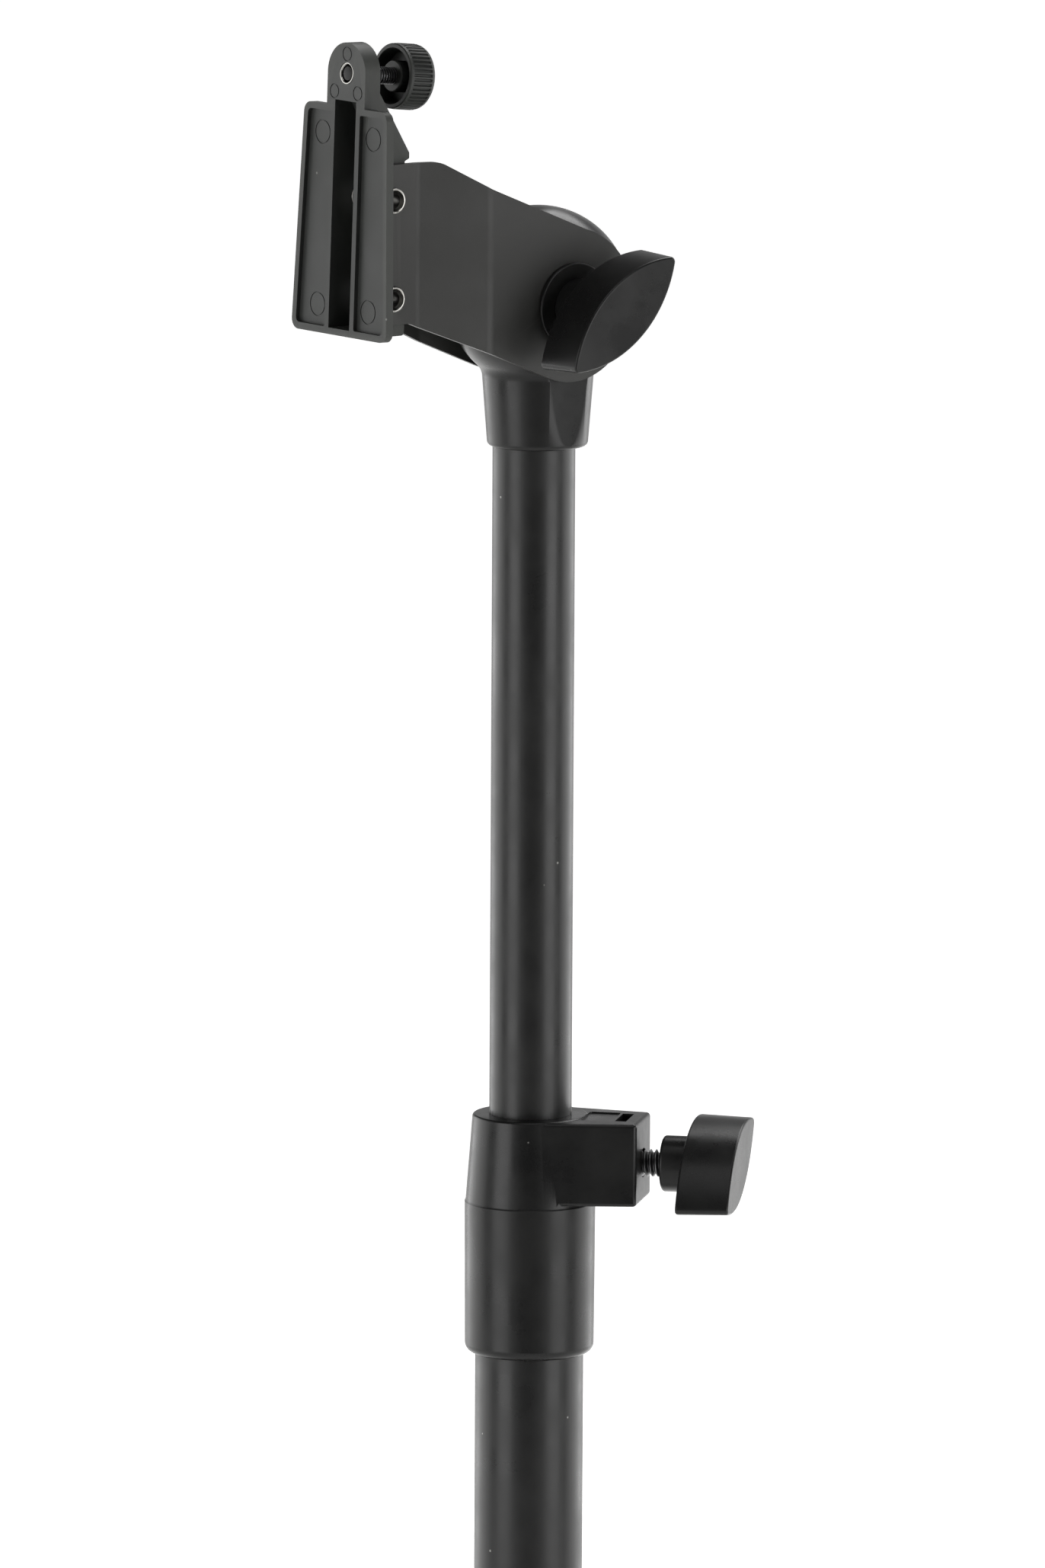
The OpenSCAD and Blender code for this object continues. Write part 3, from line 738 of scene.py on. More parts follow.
# Zinc die casting with black enamel: thick paint that fills the casting's grain
CAST_ENAMEL = Finish(
    "enamelled_zinc_casting", "#121212", "#2a2a29", 0.42, grain_mm=0.7, relief_mm=0.02
)
# Nitrile rubber: nearly black, dull, and greyer where it has rubbed
RUBBER = Finish(
    "nitrile_rubber", "#161616", "#2c2b29", 0.72, grain_mm=0.35, relief_mm=0.02, dust=0.6
)
# Black oxide on rolled steel thread: dark metal whose crests have rubbed bright
BLACK_OXIDE = Finish(
    "black_oxide_steel", "#2a2a2b", "#8b8b8c", 0.38, metallic=1.0, grain_mm=0.3, edge=0.7
)
# Bright zinc plate on turned steel: pale, bluish and slightly brushed
ZINC_PLATE = Finish(
    "zinc_plated_steel", "#b9bbbe", "#d6d7d8", 0.3, metallic=1.0, grain_mm=0.25, patch_mm=4.0
)
# Nickel-plated brass eyelets, a little tarnished: grey, with a sharp highlight on the roll
NICKEL = Finish(
    "nickel_plated_eyelet",
    "#63625f",
    "#a5a4a0",
    0.3,
    metallic=1.0,
    grain_mm=0.5,
    relief_mm=0.003,
)


def finish_piece(
    piece: Piece,
    body: str,
    look: Finish,
    nodes: Iterable[str],
    smooth: float = 30,
) -> Piece:
    """Turns a modelled piece into metres, dresses it and gives it to its body.

    Args:
        piece: The piece, in millimetres in the row frame.
        body: The CAD body that it rides on.
        look: Its finish.
        nodes: The CAD nodes that it stands for.
        smooth: Angle in degrees up to which its shading is smooth.

    Returns:
        The same piece.
    """
    tidy_mesh(piece)
    move(piece, Matrix.Scale(MM, 4))
    take(piece)
    bpy.ops.object.shade_smooth_by_angle(angle=math.radians(smooth))
    apply_modifier(piece, "WEIGHTED_NORMAL", keep_sharp=True)
    piece.data.materials.clear()
    piece.data.materials.append(look.build())
    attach(piece, body)
    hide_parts(*nodes)
    log.info("%s rides on %s with %d faces", piece.name, body, len(piece.data.polygons))
    return piece


def dress_node(node: str, look: Finish) -> None:
    """Gives a CAD node that stays as it is a better material.

    Args:
        node: The CAD node.
        look: Its finish.
    """
    mesh = frame["nodes"][node].data
    if mesh.materials:
        mesh.materials[0] = look.build()
    else:
        mesh.materials.append(look.build())
    log.info("%s stays and takes %s", node, look.title)


# ---- Sub-assemblies ----


@dataclass
class Tubes:
    """The two tubes of the post.

    Args:
        wall: Wall of both tubes.
        lip: Rounding of the sawn ends.
    """

    wall: float = 1.2
    lip: float = 0.3

    def build(self) -> None:
        """Makes both tubes."""
        self._tube("lower_tube", "base")
        self._tube("upper_tube", "post")

    def _tube(self, node: str, body: str) -> None:
        """Makes one tube from the place of its CAD node.

        Args:
            node: The CAD node.
            body: The CAD body that it rides on.
        """
        bottom, top = low(node), high(node)
        radius = top.x
        inner = radius - self.wall
        profile = [
            (inner, bottom.z),
            *arc((radius - self.lip, bottom.z + self.lip), self.lip, -90, 0, 3),
            *arc((radius - self.lip, top.z - self.lip), self.lip, 0, 90, 3),
            (inner, top.z),
        ]
        piece = lathe(node + "_drawn", profile, closed=True, steps=128)
        finish_piece(piece, body, TUBE_ENAMEL, [node])


@dataclass
class WingKnob:
    """A round hub with a leaf-shaped wing, moulded in one.

    Args:
        length: Length of the wing.
        width: Width of the wing across its middle.
        depth: Depth of the wing along the screw.
        hub_radius: Radius of the hub.
        hub_length: Length of the hub.
        tip_radius: Rounding of the wing's tips.
        edge: Rounding of the wing's rims.
        draft: How much narrower the wing's outer face is, as a share.
    """

    length: float = 39.5
    width: float = 15.0
    depth: float = 12.4
    hub_radius: float = 6.5
    hub_length: float = 5.8
    tip_radius: float = 1.3
    edge: float = 0.55
    draft: float = 0.03

    def outline(self) -> list[Point]:
        """The wing's outline: two long arcs with small round tips."""
        half = self.length / 2
        side = (half**2 + (self.width / 2) ** 2) / self.width
        drop = side - self.width / 2
        reach = side - self.tip_radius
        tip = math.sqrt(max(reach**2 - drop**2, 0.0))
        swing = math.degrees(math.atan2(drop, tip))
        return [
            *arc((0, -drop), side, swing, 180 - swing, 28),
            *arc((-tip, 0), self.tip_radius, 180 - swing, 180 + swing, 6)[1:-1],
            *arc((0, drop), side, 180 + swing, 360 - swing, 28),
            *arc((tip, 0), self.tip_radius, -swing, swing, 6)[1:-1],
        ]

    def build(self, name: str, degrees: float) -> Piece:
        """Makes the knob along +Z from z = 0.

        Args:
            name: Name of the new piece.
            degrees: Turn of the wing about the screw.

        Returns:
            The knob, in millimetres.
        """
        wing = prism(name, self.outline(), self.depth)
        top = self.depth - 0.01
        pick_vertices(wing, lambda co: co.z > top)
        scale_picked((1 - self.draft, 1 - self.draft, 1), (0, 0, self.depth))
        round_edges(wing, self.edge, 3, 60)
        move(wing, shift(z=self.hub_length) @ turn("Z", degrees))
        rim = 0.7
        hub = lathe(
            name + "_hub",
            [
                (0, 0),
                *arc((self.hub_radius - rim, rim), rim, -90, 0, 4),
                (self.hub_radius, self.hub_length + 1),
                (0, self.hub_length + 1),
            ],
        )
        return fuse(wing, hub)


@dataclass
class Collar:
    """The clamp collar at the joint of the tubes, with its nut, screw and knob.

    Args:
        skirt_edge: Rounding of the skirt's lower rim.
        seam: Depth of the parting line below the clamp block.
        block_width: Width of the clamp block at its end and at the post's axis.
        block_end: Distance of the block's end from the post's axis.
        block_edge: Rounding of the block's edges.
        slot_length: Width of the nut's slot across the block.
        slot_width: Thickness of the nut's slot.
        slot_inset: Distance from the slot to the block's end.
        recess: Depth of the shallow recess in the block's top.
        screw_radius: Radius of the clamp screw.
        pitch: Pitch of the clamp screw.
        wing_turn: Turn of the wing about the screw.
        knob: The wing knob.
    """

    skirt_edge: float = 2.3
    seam: float = 0.18
    block_width: tuple[float, float] = (18.0, 26.4)
    block_end: float = 26.55
    block_edge: float = 0.9
    slot_length: float = 10.2
    slot_width: float = 2.6
    slot_inset: float = 3.2
    recess: float = 0.5
    screw_radius: float = 3.175
    pitch: float = 1.27
    wing_turn: float = -64.4
    knob: WingKnob = field(default_factory=WingKnob)

    def __post_init__(self) -> None:
        """Reads the collar's place from the frame."""
        self.top = high("clamp_collar").z
        self.bottom = low("clamp_collar").z
        self.tube = high("lower_tube").x
        self.upper = high("upper_tube").x
        self.radius = -low("clamp_collar").x
        self.tube_top = high("lower_tube").z
        self.parting = self.top - 19.5

    def build(self) -> None:
        """Makes the collar, its nut, screw and knob, and dresses the hidden shoe."""
        self._collar()
        self._nut()
        self._screw()
        dress_node("clamp_shoe", RUBBER)

    def _collar(self) -> None:
        """Makes the moulding: skirt, ring and clamp block."""
        top_radius = self.upper + 3.9
        lip = 0.6
        edge = self.skirt_edge
        body = lathe(
            "collar_moulding",
            [
                (0, self.bottom),
                *arc((self.radius - edge - 0.2, self.bottom + edge), edge, -90, 0, 6),
                (self.radius, self.parting - 0.9),
                (self.radius - self.seam, self.parting - 0.65),
                (self.radius - 0.25, self.parting - 0.3),
                *arc((top_radius - lip, self.top - lip), lip, 5, 90, 4),
                (0, self.top),
            ],
            steps=128,
        )
        fuse(body, self._block())
        bore = rod("bore", self.upper + 0.05, 80)
        move(bore, shift(z=self.bottom - 5))
        socket = rod("socket", self.tube + 0.02, self.tube_top - self.bottom + 5.02)
        move(socket, shift(z=self.bottom - 5))
        hole = move(rod("hole", self.screw_radius + 0.25, self.block_end + 2), ALONG_CLAMP)
        cut(body, bore, socket, hole, *self._block_cuts())
        round_edges(body, 0.22, 2, 50)
        finish_piece(body, "base", POLYPROPYLENE, ["clamp_collar"])

    def _block(self) -> Piece:
        """The clamp block, which narrows towards its end."""
        end, root = (width / 2 - 0.02 for width in self.block_width)
        block = prism(
            "block",
            [(0, -root), (self.block_end, -end), (self.block_end, end), (0, root)],
            self.top - self.parting - 0.2,
        )
        round_edges(block, self.block_edge, 4, 40)
        return move(block, shift(z=self.parting) @ turn("Z", CLAMP_ANGLE))

    def _block_cuts(self) -> list[Piece]:
        """Cutters of the nut's slot and of the shallow recess before it."""
        slot_end = self.block_end - self.slot_inset
        slot_start = slot_end - self.slot_width
        half = self.slot_length / 2
        slot_outline = [
            (slot_start, -half),
            (slot_end, -half),
            (slot_end, half),
            (slot_start, half),
        ]
        slot = prism("slot", slot_outline, 40)
        inset_half = half + 0.9
        inner = self.upper + 3.4
        recess_outline = [
            (inner, -inset_half),
            (slot_start - 0.6, -inset_half),
            (slot_start - 0.6, inset_half),
            (inner, inset_half),
        ]
        recess = prism("recess", rounded(recess_outline, [0.6] * 4, 3), 5)
        around = turn("Z", CLAMP_ANGLE)
        move(slot, shift(z=CLAMP_Z - half) @ around)
        move(recess, shift(z=self.top - self.recess) @ around)
        return [slot, recess]

    def _nut(self) -> None:
        """Makes the square nut in its slot."""
        half = 5.0
        thick = 2.4
        square = [(-half, -half), (half, -half), (half, half), (-half, half)]
        nut = prism("square_nut", square, thick)
        cut(nut, move(rod("nut_bore", self.screw_radius + 0.05, thick + 2), shift(z=-1)))
        round_edges(nut, 0.3, 2, 50)
        place = self.block_end - self.slot_inset - self.slot_width + 0.1
        move(nut, ALONG_CLAMP @ shift(z=place))
        finish_piece(nut, "base", ZINC_PLATE, ["clamp_nut"])

    def _screw(self) -> None:
        """Makes the clamp screw and its knob."""
        start = self.upper + 3.5
        hub_at = self.block_end + 4.7
        screw = threaded("clamp_screw_thread", self.screw_radius, self.pitch, hub_at + 6 - start)
        move(screw, ALONG_CLAMP @ shift(z=start))
        finish_piece(screw, "clamp_knob", BLACK_OXIDE, ["clamp_screw"], 40)
        knob = self.knob.build("clamp_wing_knob", self.wing_turn)
        move(knob, ALONG_CLAMP @ shift(z=hub_at))
        finish_piece(knob, "clamp_knob", POLYPROPYLENE, ["clamp_knob"])


@dataclass
class Head:
    """The moulding that carries the arms: a sleeve on the tube, a neck and a flat-sided ball.

    Args:
        ball: Radius of the ball.
        width: Width between the ball's flat sides.
        back: How far the ball and the sleeve lie behind the tilt axis.
        rise: Height of the ball's middle above the tilt axis.
        rim: Rounding of the rims of the flat sides.
        drop: Depth of the sleeve's lower end below the tilt axis.
        sleeve: Radius of the sleeve at its lower end.
        flare: Radius of the sleeve where the neck starts.
        flat: Distance of the neck's flats from the middle.
        fillet: Radius of the hollow between neck and ball.
        lip: Rounding of the sleeve's lower rim.
        socket: Radius and depth of the tube's socket.
        bore: Radius of the tilt screw's bore.
    """

    ball: float = 20.98
    width: float = 25.0
    back: float = 1.0
    rise: float = 0.6
    rim: float = 0.8
    drop: float = 33.7
    sleeve: float = 11.62
    flare: float = 12.75
    flat: float = 11.58
    fillet: float = 4.0
    lip: float = 1.2
    socket: tuple[float, float] = (9.52, 22.5)
    bore: float = 3.25

    def ball_profile(self) -> list[Point]:
        """Radius and height of the ball about the tilt axis, with rounded rims."""
        half = self.width / 2
        side = math.sqrt((self.ball - self.rim) ** 2 - (half - self.rim) ** 2)
        turned = math.degrees(math.atan2(half - self.rim, side))
        return [
            (0, -half),
            *arc((side, self.rim - half), self.rim, -90, -turned, 5),
            *arc((0, 0), self.ball, -turned, turned, 36)[1:-1],
            *arc((side, half - self.rim), self.rim, turned, 90, 5),
            (0, half),
        ]

    def neck_profile(self) -> list[Point]:
        """Radius and height of the sleeve and the neck, from the tilt axis."""
        bottom = -self.drop
        reach, side = self.ball + self.fillet, self.flare + self.fillet
        depth = math.sqrt(reach**2 - side**2)
        meet = math.degrees(math.atan2(depth, -side))
        return [
            (0, bottom),
            *arc((self.sleeve - self.lip, bottom + self.lip), self.lip, -90, 0, 5),
            *arc((side, self.rise - depth), self.fillet, 180, meet, 8),
            (self.flare, -9),
            (0, -9),
        ]

    def build(self) -> None:
        """Makes the moulding and dresses the hidden washers."""
        head = lathe("head_moulding", self.ball_profile(), steps=144)
        move(head, shift(y=self.back, z=self.rise) @ turn("Y", 90))
        fuse(head, self._neck())
        radius, depth = self.socket
        socket = move(rod("socket", radius, depth + 5), shift(z=-self.drop - 5))
        bore = move(rod("bore", self.bore, 60), shift(x=-30) @ turn("Y", 90))
        cut(head, socket, bore)
        round_edges(head, 0.3, 3, 48)
        move(head, AT_PIVOT)
        finish_piece(head, "post", POLYPROPYLENE, ["tilt_head"], 35)
        dress_node("friction_washers", RUBBER)

    def _neck(self) -> Piece:
        """The sleeve and neck, whose sides are cut to two flats."""
        neck = lathe("neck", self.neck_profile(), steps=128)
        flat = self.flat
        slab = prism("slab", [(-flat, -40), (flat, -40), (flat, 40), (-flat, 40)], 60)
        combine(neck, move(slab, shift(z=-50)), "INTERSECT")
        return move(neck, shift(y=self.back))


@dataclass
class Arms:
    """The two bent sheet arms.

    Args:
        sheet: Thickness of the sheet.
        end_radius: Radius of the round end about the tilt axis.
        slope: Slope of the long edges in degrees.
        top: Upper edge at the desk block, above the tilt axis.
        bottom: Lower edge at the desk block, from the tilt axis.
        front: Front edge, from the tilt axis.
        bends: Where the oblique stretch starts and ends, from the tilt axis.
        inner: Distance of the inner faces from the middle, at the block and at the ball.
        shoulder: Where the level upper edge ends, from the tilt axis.
        knee: How far behind the second bend the sloping upper edge starts.
        bend_radius: Inner radius of the bends.
    """

    sheet: float = 1.5
    end_radius: float = 17.5
    slope: float = 22.3
    top: float = 35.2
    bottom: float = -1.4
    front: float = -51.0
    bends: tuple[float, float] = (-40.5, -23.8)
    inner: tuple[float, float] = (7.0, 12.7)
    shoulder: float = -35.4
    knee: float = 0.5
    bend_radius: float = 4.5

    def outline(self) -> list[Point]:
        """The side outline as y and z from the tilt axis."""
        nx, nz = math.sin(math.radians(self.slope)), math.cos(math.radians(self.slope))
        bottom_bend = (-self.end_radius - self.bottom * nz) / nx
        knee = self.bends[1] + self.knee
        corners = [
            (bottom_bend, self.bottom),
            (self.front, self.bottom),
            (self.front, self.top),
            (self.shoulder, self.top),
            (knee, (self.end_radius - knee * nx) / nz - 0.03),
        ]
        ends = arc((0, 0), self.end_radius, 90 - self.slope, -90 - self.slope, 32)
        straight = rounded([*corners, ends[0], ends[-1]], [4.0, 0.8, 0.8, 6.0, 8.0, 0, 0], 5)
        return [*straight[:-2], *ends]

    def plan(self) -> list[Point]:
        """The plan outline of the right arm as x and y."""
        near, far = self.inner
        t = self.sheet
        b0, b1 = self.bends
        r = self.bend_radius
        start, end = -60, 30
        corners = [
            (near, start),
            (near + t, start),
            (near + t, b0),
            (far + t, b1),
            (far + t, end),
            (far, end),
            (far, b1),
            (near, b0),
        ]
        return rounded(corners, [0, 0, r, r + t, 0, 0, r, r + t], 5)

    def build(self) -> None:
        """Makes both arms."""
        arm = prism("arm_right_sheet", self.plan(), 120)
        move(arm, shift(z=-60))
        combine(arm, side_prism("arm_side", self.outline(), 60), "INTERSECT")
        cut(arm, move(rod("pivot_hole", 3.25, 60), turn("Y", 90)))
        for y, z in DeskPlate().rivets():
            cut(arm, move(rod("rivet_hole", 2.37, 30, 32), shift(y=y, z=z) @ turn("Y", 90)))
        round_edges(arm, 0.32, 3, 45)
        left = mirrored(arm, "arm_left_sheet")
        for piece, node in ((arm, "arm_right"), (left, "arm_left")):
            move(piece, AT_PIVOT)
            finish_piece(piece, "tilt", POWDER_COAT, [node])


@dataclass
class DeskPlate:
    """The moulded plate that the desk slides on, with its block, gusset, tab and hollow rivets.

    Its own frame has +Z up the plate and +Y to its back, and its front face at y = 0.

    Args:
        height: Height of the plate.
        top_width: Width at its upper edge.
        bottom_width: Width at its lower edge.
        thick: Thickness of the plate.
        corner: Rounding of its corners.
        rim: Width of the raised rim round the panels.
        panel_depth: Depth of the panels below the rim.
        slot_width: Width of the slot for the desk's tongue.
        slot_top: Upper end of the slot.
        tab_radius: Radius of the tab's round top.
        tab_thick: Thickness of the tab.
        tab_rise: Height of the tab's hole above the slot's upper end.
        screw_dip: Dip of the thumb screw towards its knob, in degrees.
        block_width: Width of the block between the arms.
        back: Back of the block, from the tilt axis.
        front: Front of the plate at its foot, from the tilt axis.
        drop: Height of the plate's foot, from the tilt axis.
        lean: Lean of the plate in degrees.
        back_wall: Wall between the slot and the block's back.
        gusset_foot: Height of the gusset's lip, from the tilt axis.
        gusset_lip: How far the lip stands out behind the block, and its height.
        gusset_slope: How much the gusset's back closes in with its height.
        mark_radius: Radius of the ejector pins' marks.
        mark_depth: Depth of those marks.
        rivet_radius: Outer radius of a rivet's shank.
        rivet_bore: Radius of its bore.
    """

    height: float = 52.2
    top_width: float = 30.6
    bottom_width: float = 35.4
    thick: float = 2.0
    corner: float = 2.4
    rim: float = 1.5
    panel_depth: float = 1.0
    slot_width: float = 7.8
    slot_top: float = 53.5
    tab_radius: float = 7.0
    tab_thick: float = 4.3
    tab_rise: float = 6.3
    screw_dip: float = 4.5
    block_width: float = 14.0
    back: float = -43.1
    front: float = -56.5
    drop: float = -4.0
    lean: float = 2.0
    back_wall: float = 1.3
    gusset_foot: float = 36.2
    gusset_lip: float = 1.3
    gusset_slope: float = 0.6
    mark_radius: float = 2.8
    mark_depth: float = 0.16
    rivet_radius: float = 2.35
    rivet_bore: float = 1.95

    def rivets(self) -> list[Point]:
        """Height and depth of the two rows of rivets, from the tilt axis."""
        return [(-47.3, 4.5), (-47.3, 27.0)]

    def leaning(self) -> Matrix:
        """From the plate's frame to the tilt axis's frame."""
        return shift(y=self.front, z=self.drop) @ turn("X", -self.lean)

    def along_thumb(self) -> Matrix:
        """From the thumb screw's frame, with +Z along it, to the tilt axis's frame."""
        centre = shift(z=self.slot_top + self.tab_rise)
        return self.leaning() @ centre @ turn("X", -90 - self.screw_dip)

    def half_width(self, z: float) -> float:
        """Half the plate's width at a height up it."""
        return (self.bottom_width + (self.top_width - self.bottom_width) * z / self.height) / 2

    def gusset_y(self, z: float) -> float:
        """Back of the gusset at a height above the tilt axis."""
        climb = max(0.0, z - self.gusset_foot - self.gusset_lip)
        return self.back + self.gusset_lip - self.gusset_slope * climb

    def build(self) -> None:
        """Makes the moulding, the rivets and the tab's insert."""
        plate = self._plate()
        cut(plate, *self._panels())
        fuse(plate, self._tab(), self._block())
        cut(plate, self._slot(), *self._marks())
        cut(plate, move(rod("tab_hole", 2.47, 12, 48), self.along_thumb() @ shift(z=-2)))
        for y, z in self.rivets():
            across = shift(x=-15, y=y, z=z) @ turn("Y", 90)
            cut(plate, move(rod("rivet_hole", 2.37, 30, 32), across))
        round_edges(plate, 0.2, 2, 35)
        move(plate, AT_PIVOT)
        finish_piece(plate, "tilt", NYLON, ["desk_plate"], 35)
        self._rivets()
        self._insert()

    def _plate(self) -> Piece:
        """The tapered plate with its round corners."""
        low_half, top_half = self.bottom_width / 2, self.top_width / 2
        outline = [(-low_half, 0), (low_half, 0), (top_half, self.height), (-top_half, self.height)]
        plate = front_prism("desk_plate_moulding", rounded(outline, [self.corner] * 4), self.thick)
        return move(plate, self.leaning())

    def _panels(self) -> list[Piece]:
        """Cutters of the two recessed panels."""
        inner = self.slot_width / 2 + self.rim
        low_z, top_z = self.rim + 0.1, self.height - self.rim
        corners = [
            (inner, low_z),
            (self.half_width(low_z) - self.rim, low_z),
            (self.half_width(top_z) - self.rim, top_z),
            (inner, top_z),
        ]
        right = front_prism("panel", rounded(corners, [0.5, 1.2, 1.2, 0.5], 4), 4.0)
        move(right, shift(y=self.panel_depth - 4.0))
        left = mirrored(right, "panel_left")
        return [move(piece, self.leaning()) for piece in (right, left)]

    def _tab(self) -> Piece:
        """The round-topped tab above the plate."""
        centre = self.slot_top + self.tab_rise
        r = self.tab_radius
        foot = self.height - self.rim
        outline = [(-r, foot), (r, foot), *arc((0, centre), r, 0, 180, 32)]
        return move(front_prism("tab", outline, self.tab_thick), self.leaning())

    def _block(self) -> Piece:
        """The block between the arms, with the gusset that braces the tab."""
        lip_y = self.gusset_y(self.gusset_foot)
        end = self.gusset_foot + 17.3
        foot = self.drop - 0.2
        front = self.front + 1.5
        outline = [
            (front, foot),
            (self.back, foot),
            (self.back, self.gusset_foot - 0.6),
            (lip_y, self.gusset_foot),
            (lip_y, self.gusset_foot + self.gusset_lip),
            (self.gusset_y(end), end),
            (front + 1.4, end),
        ]
        radii = [0, 0.8, 0.3, 0.3, 0.4, 0, 0]
        return side_prism("block", rounded(outline, radii, 4), self.block_width - 0.004)

    def _slot(self) -> Piece:
        """Cutter of the deep slot for the desk's tongue."""
        floor = self.back - self.back_wall
        top = self.slot_top + self.drop
        outline = [
            (self.front - 5, self.drop + self.rim),
            (floor, self.drop + self.rim),
            (floor, self.gusset_foot + 2 * self.gusset_lip),
            (self.gusset_y(top) - 1.2 * self.back_wall, top),
            (self.front - 5, top),
        ]
        return side_prism("slot", outline, self.slot_width)

    def _marks(self) -> list[Piece]:
        """Cutters of the shallow round marks that the mould's ejector pins leave."""
        depth, radius = self.panel_depth, self.mark_radius
        places = [(s * 9.4, z, depth, radius) for s in (-1, 1) for z in (6.3, 45.6)]
        centre = self.slot_top + self.tab_rise
        places += [(x, centre + z, 0.0, 1.7) for x, z in ((0, 4.4), (-4.3, -4.4), (4.3, -4.2))]
        cutters = []
        for x, z, y, radius in places:
            disc = lathe(
                "mark",
                [(radius - 0.28, 0), (radius, 0), (radius, 3), (radius - 0.28, 3)],
                closed=True,
                steps=40,
            )
            spot = self.leaning() @ shift(x=x, y=y + self.mark_depth, z=z) @ turn("X", 90)
            cutters.append(move(disc, spot))
        return cutters

    def _rivets(self) -> None:
        """Makes the four hollow rivets, rolled over on both sides."""
        inner, outer = self.slot_width / 2, self.block_width / 2 + 1.5
        r, bore = self.rivet_radius, self.rivet_bore
        rolled = 0.3
        profile = [
            (bore, inner - 0.45),
            *arc((r + 0.1, inner - 0.25), rolled, 200, 360, 4),
            (r, inner + 0.05),
            (r, outer),
            (r + 0.6, outer + 0.02),
            *arc((r + 0.3, outer + 0.3), 0.33, 0, 180, 6),
            (bore, outer - 0.3),
        ]
        made = []
        for y, z in self.rivets():
            right = lathe("rivet", profile, closed=True, steps=40)
            move(right, shift(y=y, z=z) @ turn("Y", 90))
            made += [right, mirrored(right, "rivet_left")]
        piece = move(gather("hollow_rivets_rolled", made), AT_PIVOT)
        finish_piece(piece, "tilt", NICKEL, ["hollow_rivets"])

    def _insert(self) -> None:
        """Makes the threaded insert in the tab."""
        profile = [(2.02, 0.25), (2.2, 0.02), (2.42, 0.02), (2.45, 0.2), (2.45, 4.2), (2.02, 4.2)]
        insert = lathe("tab_insert_turned", profile, closed=True, steps=48)
        move(insert, AT_PIVOT @ self.along_thumb())
        finish_piece(insert, "tilt", NICKEL, ["tab_insert"])


@dataclass
class TiltScrew:
    """The screw through the arms and the head, with its wing knob, washer and nut.

    Args:
        radius: Radius of the screw.
        pitch: Pitch of its thread.
        nut_flats: Width of the nut across its flats.
        nut_thick: Thickness of the nut with its flange.
        arm_face: Distance of the arms' outer faces from the middle.
        knob: The wing knob.
        wing_turn: Turn of the wing about the screw.
    """

    radius: float = 3.175
    pitch: float = 1.27
    nut_flats: float = 11.0
    nut_thick: float = 5.0
    arm_face: float = 14.2
    knob: WingKnob = field(default_factory=WingKnob)
    wing_turn: float = 40.0

    def build(self) -> None:
        """Makes the knob, the round washer, the screw and the nut."""
        hub_at = low("tilt_knob").x
        knob = self.knob.build("tilt_wing_knob", self.wing_turn)
        move(knob, AT_PIVOT @ turn("Z", 90) @ turn("X", 90) @ shift(z=hub_at))
        finish_piece(knob, "tilt_knob", POLYPROPYLENE, ["tilt_knob"])
        self._washer()
        self._screw(hub_at)
        self._nut()

    def _washer(self) -> None:
        """Makes the round washer under the knob."""
        start, end = low("tilt_washer").x, high("tilt_washer").x
        radius = high("tilt_washer").y
        rim = 0.35
        profile = [
            (3.3, start),
            (radius - rim, start),
            (radius, start + rim),
            *arc((radius - rim, end - rim), rim, 0, 90, 4),
            (3.3, end),
        ]
        washer = lathe("tilt_washer_disc", profile, closed=True)
        move(washer, ALONG_TILT)
        finish_piece(washer, "tilt_washer", POLYPROPYLENE, ["tilt_washer"])

    def _screw(self, hub_at: float) -> None:
        """Makes the screw: a thread in the nut and a plain shank to the knob.

        Args:
            hub_at: Where the knob's hub starts.
        """
        start = low("tilt_screw").x
        thread = threaded("tilt_screw_thread", self.radius, self.pitch, -self.arm_face - start)
        move(thread, shift(z=start))
        shank = rod("shank", self.radius, hub_at + 4 + self.arm_face)
        move(shank, shift(z=-self.arm_face))
        screw = gather("tilt_screw_thread", [thread, shank])
        move(screw, ALONG_TILT)
        finish_piece(screw, "tilt_knob", BLACK_OXIDE, ["tilt_screw"], 40)

    def _nut(self) -> None:
        """Makes the flanged hexagon nut on the far arm."""
        side = self.nut_flats / 2 / math.cos(math.radians(30))
        start = low("tilt_nut").x
        nut = prism("tilt_nut_hex", arc((0, 0), side, 0, 300, 5), self.nut_thick - 0.4)
        chamfer = lathe(
            "chamfer",
            [(0, -0.5), (side - 1.6, -0.5), (side + 1.5, 1.6), (side + 1.5, 9), (0, 9)],
        )
        combine(nut, chamfer, "INTERSECT")
        skirt, thick = side + 0.7, self.nut_thick
        flange = lathe(
            "flange",
            [(0, 3.8), (skirt - 0.3, 3.8), (skirt, 4.3), (skirt, thick), (0, thick)],
        )
        fuse(nut, flange)
        cut(nut, move(rod("nut_bore", self.radius + 0.05, 12), shift(z=-3)))
        round_edges(nut, 0.2, 2, 30)
        move(nut, ALONG_TILT @ shift(z=start))
        finish_piece(nut, "tilt", BLACK_OXIDE, ["tilt_nut"])


